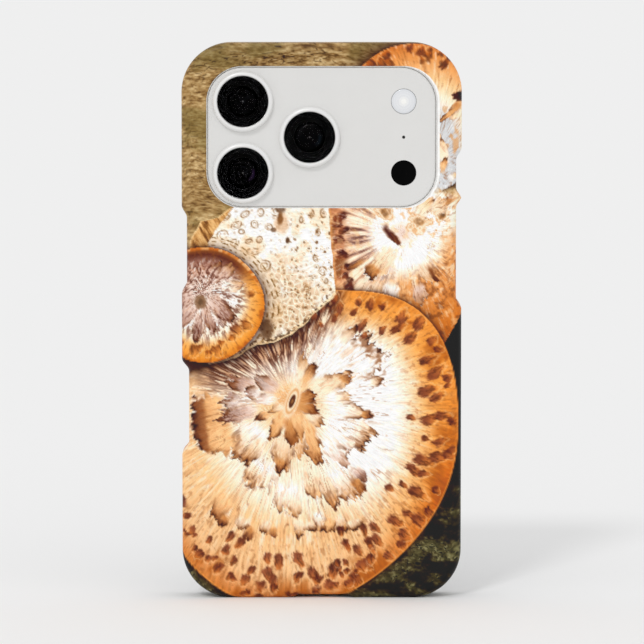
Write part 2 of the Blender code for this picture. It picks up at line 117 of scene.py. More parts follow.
# The flat strip that the wall carries past its rounded edge, the inset where the flat back starts, the inset
# where the wall starts, just under the back, and how far it dips there so that no gap shows.
STRIP = 0.8 * MM
FLAT_INSET = BACK_FILLET + STRIP
WALL_START = BACK_FILLET + STRIP * 1.6
LAP = 0.004 * MM
# How much closer than its edge the opening's wall hugs the camera plateau.
SNUG = 0.26 * MM
# Angles past which an edge is shaded sharp.
SHARP_ANGLE = math.radians(38.0)
WALL_SHARP_ANGLE = math.radians(50.0)


# ---------------------------------------------------------------- noise


def hash01(ix, iy, seed):
    """Scrambles two whole numbers and a seed to a value from 0 to 1."""
    h = (ix.astype(np.int64) * 374761393 + iy.astype(np.int64) * 668265263 + seed * 2147483647) & 0xFFFFFFFF
    h = ((h ^ (h >> 13)) * 1274126177) & 0xFFFFFFFF
    h = ((h ^ (h >> 16)) * 2246822519) & 0xFFFFFFFF
    return ((h ^ (h >> 15)) & 0xFFFFFF) / float(0xFFFFFF)


def value_noise(u, v, seed):
    """Random values on a unit grid, joined smoothly."""
    iu, iv = np.floor(u), np.floor(v)
    fu, fv = u - iu, v - iv
    fu, fv = fu * fu * (3 - 2 * fu), fv * fv * (3 - 2 * fv)
    a = hash01(iu, iv, seed)
    b = hash01(iu + 1, iv, seed)
    c = hash01(iu, iv + 1, seed)
    d = hash01(iu + 1, iv + 1, seed)
    return (a + (b - a) * fu) * (1 - fv) + (c + (d - c) * fu) * fv


def layered(u, v, seed, octaves=4):
    """Sum of value noises, each twice as fine and half as strong, from 0 to 1."""
    total, weight, whole = 0.0, 1.0, 0.0
    for octave in range(octaves):
        fine = 2**octave
        noise = value_noise(u * fine + 17.3 * octave, v * fine - 9.1 * octave, seed + octave)
        total = total + weight * noise
        whole += weight
        weight *= 0.5
    return total / whole


def cells(u, v, seed, jitter=0.85):
    """Distances to the nearest and next-nearest of points scattered one to a cell, and the first's value."""
    iu, iv = np.floor(u), np.floor(v)
    near = np.full(np.shape(u), 9.0)
    second = np.full(np.shape(u), 9.0)
    value = np.zeros(np.shape(u))
    for du in (-1, 0, 1):
        for dv in (-1, 0, 1):
            cu, cv = iu + du, iv + dv
            pu = cu + 0.5 + jitter * (hash01(cu, cv, seed) - 0.5)
            pv = cv + 0.5 + jitter * (hash01(cu, cv, seed + 1) - 0.5)
            gap = np.hypot(u - pu, v - pv)
            closer = gap < near
            second = np.where(closer, near, np.minimum(second, gap))
            value = np.where(closer, hash01(cu, cv, seed + 2), value)
            near = np.where(closer, gap, near)
    return near, second, value


def step(low, high, t):
    """Smooth step from 0 at low to 1 at high."""
    s = np.clip((t - low) / (high - low), 0, 1)
    return s * s * (3 - 2 * s)


def bell(value, width):
    """1 where the value is 0, falling off as a bell curve of a width."""
    return np.exp(-((value / width) ** 2))


def mix(a, b, share):
    """From colour a to colour b by a share for each point."""
    return a + (b - a) * np.asarray(share)[..., None]


def rgb(*values):
    """A colour from three values from 0 to 255."""
    return np.array(values, float) / 255


def stops(t, *pairs):
    """The colour at t on a scale given as pairs of place and colour."""
    places = [place for place, _ in pairs]
    return np.stack([np.interp(t, places, [colour[k] for _, colour in pairs]) for k in range(3)], axis=-1)


WHITE = rgb(254, 249, 242)
CREAM = rgb(249, 230, 205)
PEACH = rgb(243, 197, 146)
TAN = rgb(212, 154, 98)
ORANGE = rgb(228, 152, 78)
RUST = rgb(192, 102, 34)
PINK = rgb(226, 200, 186)
MAUVE = rgb(150, 108, 94)
BROWN = rgb(138, 82, 44)
MAROON = rgb(92, 48, 36)
DARK = rgb(48, 22, 14)
BARE_PLASTIC = rgb(246, 246, 244)
# The finished print's contrast is raised about a middle tone, and its darkest tone stays above black.
CONTRAST, MIDDLE_TONE, DARKEST_TONE = 1.14, 0.56, 0.03


# ---------------------------------------------------------------- marks on the print


def within(x, z, place, reach):
    """The numbers of the points in a square about a place."""
    return np.flatnonzero((np.abs(x - place[0]) < reach) & (np.abs(z - place[1]) < reach))


def local_frame(x, z, place, way, reach):
    """The points within reach of a place: their numbers, and how far along and across the way they lie.

    Both distances are bent by up to 0.5 mm of noise, so that outlines drawn in them are not regular.
    """
    index = within(x, z, place, reach)
    u, v = x[index] / (1.5 * MM), z[index] / (1.5 * MM)
    turn = math.radians(way)
    dx = x[index] - place[0] + MM * (layered(u, v, 211, 3) - 0.5)
    dz = z[index] - place[1] + MM * (layered(u, v, 219, 3) - 0.5)
    along = dx * math.cos(turn) + dz * math.sin(turn)
    return index, along, dz * math.cos(turn) - dx * math.sin(turn)


def flake(coat, x, z, root, way, length, width, tones, edge, **shape):
    """Lays one torn scale on the coat, in place.

    s runs from 0 at the root to 1 at the far end along the way (degrees), and q from -1 to 1 across the half
    width, which grows with the square root of s. The far end is an arch, s = 1 - bow q q, torn by noise, and
    is brown there with a broken dark edge; the sides are soft. Past the end lies a white gap.
    """
    usual = {"bow": 0.3, "narrow": 0.5, "torn": 0.22, "gap": 0.0, "band": 0.45 * MM, "seed": 1}
    bow, narrow, torn, gap, band, seed = (usual | shape).values()
    index, along, across = local_frame(x, z, root, way, 1.25 * max(length, width) + gap + MM)
    if not index.size:
        return
    s = along / length
    half = 0.5 * width * (narrow + (1 - narrow) * np.sqrt(np.clip(s, 0, 1)))
    q = across / half
    coarse = value_noise(across / (1.0 * MM), np.zeros_like(s), seed)
    fine = value_noise(across / (0.35 * MM), along / (1.4 * MM), seed + 1)
    end = 1 - bow * q * q + torn * (1.3 * coarse + 0.9 * fine - 1.1)
    side = 1 + 0.3 * (value_noise(along / (1.1 * MM), np.sign(q) * 3, seed + 2) - 0.5)
    tip = (end - s) * length
    depth = np.minimum(tip, (side - np.abs(q)) * half)
    strand = layered(across / (0.38 * MM) + 0.8 * coarse, along / (2.4 * MM), seed + 3, 3)
    patch = step(0.25, 0.7, layered(along / (1.5 * MM), across / (1.2 * MM), seed + 4, 2))
    body = mix(tones[0], tones[1], step(0.3, 1.0, s + 1.1 * (strand - 0.5)))
    body = body * (1 - (0.6 * step(0.52, 0.25, strand))[:, None] * np.array([0.14, 0.26, 0.36]))
    body = mix(body, tones[0], step(0.52, 0.7, strand) * 0.7)
    brown = step(0.35 * length + 0.4 * MM, 0.1 * MM, tip) * patch
    body = mix(body, BROWN, np.clip(edge * brown, 0, 1) * 0.7)
    torn_edge = np.exp(-np.clip(np.minimum(tip, depth + 0.5 * band), 0, None) / band) * step(0.4, 0.85, s)
    body = mix(body, DARK, np.clip(1.6 * edge * torn_edge * patch, 0, 1) * 0.85)
    soft = (0.12 + 0.5 * step(0.9, 0.3, s)) * MM
    inside = step(-soft, soft, depth + 0.5 * (strand - 0.5) * soft) * step(0.0, 0.35, s)
    coat_here = coat[index]
    if gap:
        near = step(-gap, -0.1 * MM, depth) * step(0.2, 0.6, s)
        coat_here = mix(coat_here, WHITE, near * (depth < 0.1 * MM) * 0.8)
    line = bell(depth + 0.12 * MM, 0.17 * MM) * step(0.3, 0.7, s) * step(0.3, 0.6, coarse + 0.3 * patch)
    coat_here = mix(coat_here, BROWN, np.clip(line * edge, 0, 1) * 0.6)
    coat[index] = mix(coat_here, body, inside)


def teardrop(coat, x, z, place, way, length, width, inner, outer, seed):
    """Lays one soft dark drop on the coat, in place, narrower along the way (degrees) and fading that way."""
    index, along, across = local_frame(x, z, place, way, length + width)
    if not index.size:
        return
    s = along / (0.5 * length)
    q = across / (0.5 * width * (1 - 0.3 * np.clip(s, -1, 1)))
    ragged = layered(across / (0.4 * MM), along / (1.3 * MM), seed, 3)
    gap = np.hypot(s, q) + 0.6 * (ragged - 0.5)
    body = mix(inner, outer, step(-0.5, 0.9, s + 0.8 * (ragged - 0.5)))
    body = body * (1 - 0.25 * step(0.5, 0.3, ragged))[:, None]
    pale = bell(gap - 1.25, 0.16) * step(0.0, 0.6, s)
    coat_here = mix(coat[index], PEACH, pale * 0.45)
    coat[index] = mix(coat_here, body, step(1.12, 0.68, gap) * 0.88)


def ring_mark(coat, x, z, centre, width, height, turn, colour, seed):
    """Draws one thin oval line with a paler ring inside it, its width wandering by noise."""
    index = within(x, z, centre, 1.2 * max(width, height))
    if not index.size:
        return
    angle = math.radians(turn)
    dx, dz = x[index] - centre[0], z[index] - centre[1]
    u = (dx * math.cos(angle) + dz * math.sin(angle)) / (0.5 * width)
    v = (dz * math.cos(angle) - dx * math.sin(angle)) / (0.5 * height)
    wander = layered(x[index] / (0.8 * MM), z[index] / (0.8 * MM), seed, 3)
    gap = (np.hypot(u, v) - 1 + 0.5 * (wander - 0.5)) * 0.5 * min(width, height)
    line = bell(gap, 0.17 * MM) * step(0.25, 0.6, wander)
    inner = bell(gap + 0.28 * min(width, height), 0.16 * MM) * step(0.3, 0.7, 1 - wander)
    coat[index] = mix(coat[index], colour, np.clip(line + 0.8 * inner, 0, 1) * 0.85)


# ---------------------------------------------------------------- caps


class Cap:
    """A round cap. Its growth rings are circles that shrink from the rim towards a point off the middle."""

    def __init__(self, centre, radius, umbo, lobes, seed):
        self.centre, self.radius, self.umbo = np.array(centre) * MM, radius * MM, np.array(umbo) * MM
        self.lobes, self.seed = lobes, seed

    def rim(self, way):
        """The rim's distance from the centre: the radius with a few lobes, each a cosine of the way."""
        lobes = sum(size * np.cos(count * way + phase) for count, size, phase in self.lobes)
        return self.radius * (1 + lobes)

    def growth(self, x, z):
        """t is 0 at the umbo and 1 at the rim, and angle is the way from the ring's own centre.

        The ring of t has centre umbo + t (centre - umbo) and radius t R, so t solves a quadratic.
        """
        dx, dz = x - self.umbo[0], z - self.umbo[1]
        cx, cz = self.centre - self.umbo
        a = cx * cx + cz * cz - self.rim(np.arctan2(dz, dx)) ** 2
        b = dx * cx + dz * cz
        c = dx * dx + dz * dz
        t = (b - np.sqrt(b * b - a * c)) / a
        return t, np.arctan2(dz - t * cz, dx - t * cx)

    def point(self, t, degrees):
        """The place at growth t and a way given in degrees."""
        angle = math.radians(degrees)
        heading = np.array([math.cos(angle), math.sin(angle)])
        return self.umbo + t * (self.centre - self.umbo) + t * self.rim(angle) * heading

    def hairs(self, t, angle, pitch, seed):
        """Streaks along the growth, from 0 to 1: noise that changes fast round the cap and slowly outward."""
        around = angle * self.radius / (pitch * MM)
        bend = 1.6 * layered(angle * 6, t * 5, self.seed + seed + 7, 2)
        return layered(around + bend, t * 12, self.seed + seed, 4)

    def creases(self, t, angle, seed):
        """Thin broken lines, where a noise stretched along the growth passes through its middle value."""
        wander = layered(angle * self.radius / (2.2 * MM), t * self.radius / (6 * MM), self.seed + seed, 2)
        patch = layered(angle * 6, t * 6, self.seed + seed + 9, 2)
        return step(0.05, 0.02, np.abs(wander - 0.5)) * step(0.45, 0.62, patch) * step(0.16, 0.34, t)

    def spots(self, coat, x, z, rows, tones):
        """Dark drops in rings. A row is t, first and last degree, step, chance, length and width in mm."""
        random = np.random.default_rng(self.seed)
        for t, first, last, pitch, chance, length, width in rows:
            for degree in np.arange(first, last, pitch):
                shift, drift, big, keep, tone = random.random(5)
                if keep > chance:
                    continue
                place = self.point(t + 0.05 * (drift - 0.5), degree + 0.8 * pitch * (shift - 0.5))
                size = (0.65 + 0.7 * big) * MM
                inner = tones[0] + (tones[1] - tones[0]) * tone
                way = degree + 50 * (tone - 0.5)
                seed = self.seed + int(999 * keep)
                teardrop(coat, x, z, place, way, length * size, width * size, inner, tones[2], seed)

    def scales(self, coat, x, z, table, seed):
        """Torn scales, each rooted at a way (degrees) and a distance (mm) from the umbo."""
        for way, distance, length, width, near, far, edge, gap in table:
            turn = math.radians(way)
            root = self.umbo + distance * MM * np.array([math.cos(turn), math.sin(turn)])
            size = np.array([length, width]) * MM
            flake(coat, x, z, root, way, *size, (near, far), edge, gap=gap * MM, seed=seed + way % 360)


# Each cap: centre, radius and umbo in mm, the rim's lobes as count, size and phase, and its noise's seed.
LARGE_LOBES = ((2, 0.008, 2.83), (3, 0.053, -0.85), (4, 0.024, -1.86), (5, 0.025, 2.47))
LARGE = Cap((-7.0, 45.0), 45.5, (-8.1, 54.6), LARGE_LOBES, 11)
SMALL = Cap((-31.9, 81.2), 15.9, (-32.6, 85.0), ((3, 0.012, 0.4), (5, 0.008, 1.0)), 23)
SIDE = Cap((20.1, 96.0), 31.0, (22.4, 101.0), ((2, 0.02, 2.2), (3, 0.02, 0.6)), 37)
TOP = Cap((26.4, 132.4), 20.8, (30.0, 121.0), ((3, 0.012, 0.5), (5, 0.01, 0.2)), 53)

# The torn scales of a cap: way (degrees) and distance (mm) of the root from the umbo, length, width, the two
# tones, how dark the far edge is, and the white gap past it.
LARGE_SCALES = (
    (248, 34.6, 4.0, 4.4, CREAM, BROWN, 1.2, 0.0),
    (252, 36.2, 4.2, 3.0, TAN, MAROON, 1.0, 0.0),
    (258, 33.0, 4.6, 3.4, CREAM, TAN, 1.0, 0.0),
    (262, 34.8, 3.6, 2.4, TAN, MAROON, 1.1, 0.0),
    (273, 31.6, 6.2, 3.2, CREAM, TAN, 1.2, 0.2),
    (278, 33.2, 3.4, 3.4, CREAM, BROWN, 1.2, 0.0),
    (283, 30.2, 6.6, 3.6, WHITE, TAN, 1.2, 0.3),
    (287, 33.6, 4.2, 3.8, PEACH, TAN, 1.0, 0.0),
    (292, 33.0, 5.4, 3.0, CREAM, TAN, 1.1, 0.2),
    (297, 36.4, 3.4, 4.2, CREAM, TAN, 1.0, 0.0),
    (236, 31.6, 7.6, 5.4, PEACH, BROWN, 0.9, 0.0),
    (240, 35.6, 4.4, 3.0, TAN, MAROON, 1.1, 0.0),
    (247, 16.5, 9.6, 9.6, WHITE, PEACH, 0.6, 0.6),
    (240, 19.5, 5.6, 3.6, CREAM, PEACH, 0.6, 0.0),
    (267, 21.0, 10.4, 8.0, WHITE, PEACH, 0.6, 0.6),
    (272, 26.0, 6.2, 3.6, CREAM, TAN, 0.8, 0.0),
    (284, 18.0, 9.6, 5.4, CREAM, PEACH, 0.8, 0.5),
    (302, 19.0, 14.2, 8.0, WHITE, TAN, 1.0, 1.0),
    (292, 21.0, 9.8, 4.6, CREAM, TAN, 0.9, 0.4),
    (308, 26.4, 5.6, 3.4, TAN, BROWN, 1.2, 0.4),
    (313, 24.5, 6.0, 3.0, PINK, MAROON, 1.2, 0.6),
    (312, 12.0, 10.6, 6.6, WHITE, PINK, 0.8, 0.8),
    (324, 13.4, 9.0, 5.4, WHITE, PINK, 0.8, 0.3),
    (333, 14.0, 11.0, 8.6, WHITE, PEACH, 1.1, 1.4),
    (222, 8.0, 14.4, 9.6, WHITE, PEACH, 1.2, 1.0),
    (232, 12.0, 9.6, 4.4, CREAM, TAN, 1.1, 0.3),
    (197, 16.6, 9.4, 19.0, PEACH, TAN, 0.5, 0.0),
    (206, 19.4, 8.6, 7.6, PEACH, TAN, 0.6, 0.0),
    (184, 8.5, 11.2, 7.6, WHITE, MAUVE, 1.0, 0.6),
    (194, 9.0, 11.8, 4.6, PINK, MAROON, 1.3, 0.3),
    (161, 9.0, 9.4, 4.6, PINK, MAUVE, 1.2, 0.4),
    (168, 6.5, 7.4, 4.2, WHITE, MAUVE, 1.0, 0.4),
    (147, 4.5, 7.2, 4.8, PINK, rgb(150, 126, 116), 0.9, 0.3),
    (176, 3.5, 6.0, 3.2, WHITE, PINK, 0.4, 0.2),
    (208, 6.0, 5.4, 2.2, PEACH, MAROON, 1.0, 0.0),
    (205, 2.0, 5.0, 2.4, CREAM, TAN, 0.4, 0.0),
    (33, 14.0, 15.0, 12.5, WHITE, WHITE, 2.4, 2.0),
    (50, 20.5, 6.6, 3.0, CREAM, BROWN, 1.3, 0.3),
    (14, 21.4, 4.2, 3.0, CREAM, BROWN, 1.3, 0.3),
    (25, 4.6, 13.4, 5.8, CREAM, PEACH, 1.1, 0.8),
    (23, 14.0, 3.8, 3.0, TAN, MAROON, 1.2, 0.2),
    (3, 8.0, 9.0, 5.0, WHITE, PEACH, 0.7, 1.0),
    (-10, 9.4, 13.0, 5.0, WHITE, PEACH, 1.1, 1.2),
    (-11, 19.0, 3.4, 2.8, TAN, MAROON, 1.3, 0.2),
    (-38, 4.0, 7.6, 3.6, CREAM, TAN, 1.2, 0.5),
    (-66, 4.6, 13.6, 6.0, PEACH, TAN, 1.1, 0.6),
    (-80, 6.6, 8.8, 4.4, CREAM, TAN, 0.8, 0.2),
    (-100, 5.0, 15.2, 6.6, CREAM, TAN, 1.0, 0.4),
    (-101, 15.8, 4.2, 2.8, TAN, MAROON, 1.2, 0.0),
    (-122, 3.0, 8.8, 4.0, PEACH, TAN, 1.2, 0.2),
    (-92, 3.0, 10.4, 4.2, TAN, BROWN, 1.2, 0.0),
    (-78, 2.6, 8.0, 3.0, PEACH, TAN, 0.7, 0.0),
    (-18, 0.8, 6.6, 4.4, TAN, BROWN, 1.0, 0.3),
    (15, 0.8, 6.2, 4.2, TAN, BROWN, 1.2, 0.3),
    (58, 3.6, 9.4, 3.2, PEACH, BROWN, 1.0, 0.0),
    (74, 5.0, 9.0, 3.0, CREAM, TAN, 0.5, 0.0),
)


# The dark drops of the large cap, first those at its right and then those below: t, first and last degree,
# step, chance, length and width in mm.
LARGE_SPOTS = (
    (0.71, -62, 78, 15, 0.5, 2.8, 2.0),
    (0.785, -66, 86, 9.0, 0.85, 4.6, 2.4),
    (0.865, -75, 86, 8.0, 0.9, 4.6, 2.5),
    (0.945, -80, 86, 6.4, 0.85, 3.6, 2.6),
    (0.78, 236, 300, 9.5, 0.8, 4.6, 2.5),
    (0.85, 212, 302, 6.4, 0.85, 3.6, 2.4),
    (0.905, 208, 302, 4.6, 0.85, 2.8, 2.2),
    (0.95, 206, 302, 4.4, 0.8, 2.4, 2.2),
)


def paint_large(x, z):
    """The large cap: white about torn scales, peach outside them, an orange rim with teardrops."""
    cap = LARGE
    t, angle = cap.growth(x, z)
    slow = layered(x / (7 * MM), z / (7 * MM), 81, 3)
    tw = t + 0.05 * (slow - 0.5)
    bright = stops(
        tw, (0, TAN), (0.1, PEACH), (0.26, WHITE), (0.56, WHITE), (0.67, CREAM), (0.76, PEACH),
        (0.86, rgb(236, 166, 92)), (0.93, rgb(216, 128, 52)), (1, rgb(192, 98, 28)),
    )
    tanned = stops(
        tw, (0, TAN), (0.12, PEACH), (0.35, CREAM), (0.5, CREAM), (0.62, PEACH), (0.86, PEACH * 0.96),
        (0.94, rgb(216, 148, 92)), (1, rgb(206, 128, 62)),
    )
    coat = mix(bright, tanned, step(-0.35, 0.6, np.cos(angle - math.radians(232))))
    top = step(0.2, 0.8, np.cos(angle - math.radians(62))) * step(0.72, 0.9, tw)
    coat = mix(coat, rgb(238, 160, 76), top * 0.8)
    hair = cap.hairs(t, angle, 0.55, 1)
    broad = cap.hairs(t, angle, 1.7, 21)
    coat = mix(coat, WHITE, step(0.56, 0.78, broad) * step(0.9, 0.6, t) * 0.45)
    coat = mix(coat, TAN, step(0.44, 0.24, broad) * step(0.3, 0.6, t) * 0.25)
    coat = mix(coat, BROWN, step(0.44, 0.22, hair) * (0.22 + 0.16 * step(0.7, 0.9, t)))
    coat = mix(coat, WHITE, step(0.58, 0.76, hair) * step(1.0, 0.6, t) * 0.4)
    speck = layered(angle * 60, t * 40, 87, 3)
    coat = mix(coat, BROWN, step(0.58, 0.74, speck) * step(0.55, 0.8, t) * 0.35)
    glow = step(0.35, 0.95, np.cos(angle - math.radians(-5))) * step(0.25, 0.4, t) * step(0.74, 0.6, t)
    coat = mix(coat, rgb(250, 248, 244), glow * 0.6)
    crowd_large_cap(coat, x, z)
    cap.scales(coat, x, z, LARGE_SCALES, 300)
    block, block_tones = np.array([-31.0, 48.4]) * MM, (rgb(160, 106, 68), rgb(104, 60, 42))
    shape = {"bow": 0.35, "narrow": 0.9, "torn": 0.3, "band": 0.7 * MM, "gap": 0.8 * MM}
    flake(coat, x, z, block, 188, 4.4 * MM, 16.0 * MM, block_tones, 1.3, seed=61, **shape)
    coat = mix(coat, rgb(128, 76, 46), cap.creases(t, angle, 41) * step(0.74, 0.6, t) * 0.4)
    blotch = step(0.5, 0.7, layered(angle * 12, t * 9, 97, 3)) * step(0.8, 0.93, t)
    coat = mix(coat, RUST * 0.86, blotch * 0.65)
    tones = (rgb(98, 46, 32), rgb(140, 78, 54), rgb(196, 116, 60))
    cap.spots(coat, x, z, LARGE_SPOTS, tones)
    umbo_mark(coat, x - cap.umbo[0], z - cap.umbo[1], 0.8 * MM, 1.9 * MM)
    return mix(coat, ORANGE * 1.04, step(0.985, 1.0, t) * 0.6), t


def crowd_large_cap(coat, x, z):
    """Crowded dark streaks where the large cap comes out from under the porous sheet, thinning inward."""
    dx, dz = x - LARGE.umbo[0], z - LARGE.umbo[1]
    under = np.clip(lip_distance(x, z), 0, None)
    strands = layered(np.arctan2(dz, dx) * 24, np.hypot(dx, dz) / (5 * MM), 131, 3)
    reach = (3.5 + 9.0 * strands) * MM
    share = step(9 * MM, 1 * MM, x) * step(-37 * MM, -27 * MM, x)
    near_lip = bell(under, reach) * share
    dark = stops(
        strands, (0.3, rgb(222, 172, 130)), (0.4, rgb(140, 92, 68)), (0.5, DARK * 1.5),
        (0.58, rgb(140, 92, 68)), (0.68, CREAM),
    )
    coat[:] = mix(coat, dark, np.clip(1.2 * near_lip, 0, 0.9))
    fibres = layered(np.arctan2(dz, dx) * 60, np.hypot(dx, dz) / (3 * MM), 137, 2)
    tufts = step(0.5, 0.36, fibres) * bell(under, 5.5 * MM) * share
    coat[:] = mix(coat, DARK * 1.3, tufts * 0.6)
    coat[:] = mix(coat, CREAM, step(0.56, 0.72, fibres) * near_lip * 0.5)
    coat[:] = mix(coat, DARK, np.exp(-under / (1.2 * MM)) * step(6 * MM, 0, x) * 0.8)


def umbo_mark(coat, dx, dz, width, height):
    """A dark slit, leaning to the right, in a pale ring."""
    gap = np.hypot((dx - 0.3 * dz) / width, dz / height)
    coat[:] = mix(coat, CREAM, step(3.0, 1.8, gap) * 0.8)
    coat[:] = mix(coat, TAN, bell(gap - 1.7, 0.25) * 0.8)
    coat[:] = mix(coat, BROWN * 0.7, step(1.15, 0.8, gap))
    coat[:] = mix(coat, TAN, step(0.45, 0.2, gap) * 0.5)


SMALL_SCALES = (
    (40, 5.2, 6.0, 3.2, PINK, TAN, 0.8, 0.0),
    (10, 4.0, 7.0, 3.6, WHITE, PEACH, 0.4, 0.3),
    (60, 4.6, 4.8, 2.8, PINK, BROWN, 0.7, 0.0),
    (205, 2.0, 7.0, 4.6, PINK, MAUVE, 0.5, 0.0),
    (236, 3.0, 9.0, 4.4, PINK, MAUVE, 0.6, 0.0),
    (262, 5.0, 8.4, 3.0, PINK, MAROON, 1.1, 0.3),
    (288, 2.6, 9.0, 5.4, PINK, MAUVE, 1.3, 0.5),
    (302, 4.6, 7.4, 3.4, WHITE, MAUVE, 1.0, 0.2),
    (318, 1.6, 9.4, 5.0, PINK, MAUVE, 1.3, 0.5),
)


def paint_small(x, z):
    """The small cap: pink-white fibres with mauve ends, and a smooth amber rim with a few smudges."""
    cap = SMALL
    t, angle = cap.growth(x, z)
    amber = stops(
        t, (0, PINK), (0.3, WHITE), (0.5, WHITE), (0.66, CREAM), (0.78, rgb(238, 178, 106)),
        (0.9, rgb(232, 158, 72)), (1, rgb(214, 128, 42)),
    )
    above = stops(
        t, (0, PINK), (0.3, PINK), (0.52, rgb(206, 164, 144)), (0.7, MAUVE), (0.84, MAROON * 1.1),
        (0.93, BROWN), (1, ORANGE),
    )
    upper = step(-0.1, 0.55, np.cos(angle - math.radians(112)))
    coat = mix(amber, above, upper)
    hair = cap.hairs(t, angle, 0.5, 1)
    broad = cap.hairs(t, angle, 1.1, 21)
    coat = mix(coat, MAROON, step(0.46, 0.26, broad) * step(0.86, 0.5, t) * (0.35 + 0.45 * upper))
    coat = mix(coat, WHITE, step(0.54, 0.7, broad) * step(0.86, 0.55, t) * 0.6)
    coat = mix(coat, BROWN, step(0.46, 0.24, hair) * 0.5)
    strands = cap.hairs(t, angle, 0.8, 61)
    coat = mix(coat, rgb(104, 60, 46), step(0.5, 0.34, strands) * step(0.82, 0.6, t) * 0.6)
    beads = step(0.35, 0.7, value_noise(angle * cap.radius / (0.9 * MM), np.zeros_like(t), 77))
    beaded = step(0.92, 0.965, t) * step(0.0, 0.5, np.cos(angle - math.radians(95)))
    coat = mix(coat, mix(RUST, PEACH, beads), beaded * 0.6)
    cap.scales(coat, x, z, SMALL_SCALES, 500)
    coat = mix(coat, rgb(98, 52, 40), cap.creases(t, angle, 41) * step(0.84, 0.7, t) * 0.7)
    coat = mix(coat, rgb(112, 66, 50), step(0.46, 0.34, strands) * step(0.7, 0.5, t) * 0.45)
    smudge = step(0.52, 0.72, layered(angle * 5, t * 6, 99, 3)) * step(0.66, 0.84, t)
    smudge = smudge * step(0.1, -0.4, np.sin(angle - 1.2))
    coat = mix(coat, RUST * 0.9, smudge * 0.75)
    rows = ((0.80, -100, 30, 24, 0.8, 2.8, 2.8), (0.86, 225, 300, 15, 0.8, 2.6, 2.2))
    cap.spots(coat, x, z, rows, (RUST, BROWN, ORANGE))
    teardrop(coat, x, z, np.array([-23.6, 74.4]) * MM, -40, 3.6 * MM, 3.4 * MM, rgb(128, 72, 44), ORANGE, 5)
    eye = np.hypot((x + 33.3 * MM) / (1.9 * MM), (z - 82.0 * MM) / (2.2 * MM)) + 0.4 * (hair - 0.5)
    coat = mix(coat, rgb(140, 106, 78), step(1.1, 0.7, eye) * 0.9)
    coat = mix(coat, rgb(84, 62, 42), step(0.6, 0.2, eye) * 0.5)
    return coat, t


SIDE_SCALES = (
    (236, 4.0, 10.4, 6.4, CREAM, PEACH, 0.4, 0.5),
    (231, 11.0, 5.0, 4.6, TAN, DARK, 1.3, 0.8),
    (52, 5.6, 7.0, 4.6, CREAM, PEACH, 0.6, 0.3),
    (36, 9.0, 6.6, 4.2, CREAM, TAN, 0.4, 0.3),
    (64, 11.0, 6.4, 3.2, PEACH, TAN, 0.6, 0.3),
    (258, 13.0, 7.4, 5.0, WHITE, PINK, 0.5, 0.3),
    (246, 17.0, 4.6, 4.4, PINK, MAUVE, 0.5, 0.3),
    (285, 13.5, 7.0, 4.6, PINK, TAN, 0.6, 0.2),
    (300, 9.0, 7.0, 3.6, CREAM, TAN, 0.4, 0.2),
    (306, 10.5, 6.8, 1.2, BROWN, MAROON, 1.0, 0.0),
    (214, 12.0, 6.6, 1.5, TAN, MAROON, 0.7, 0.0),
)


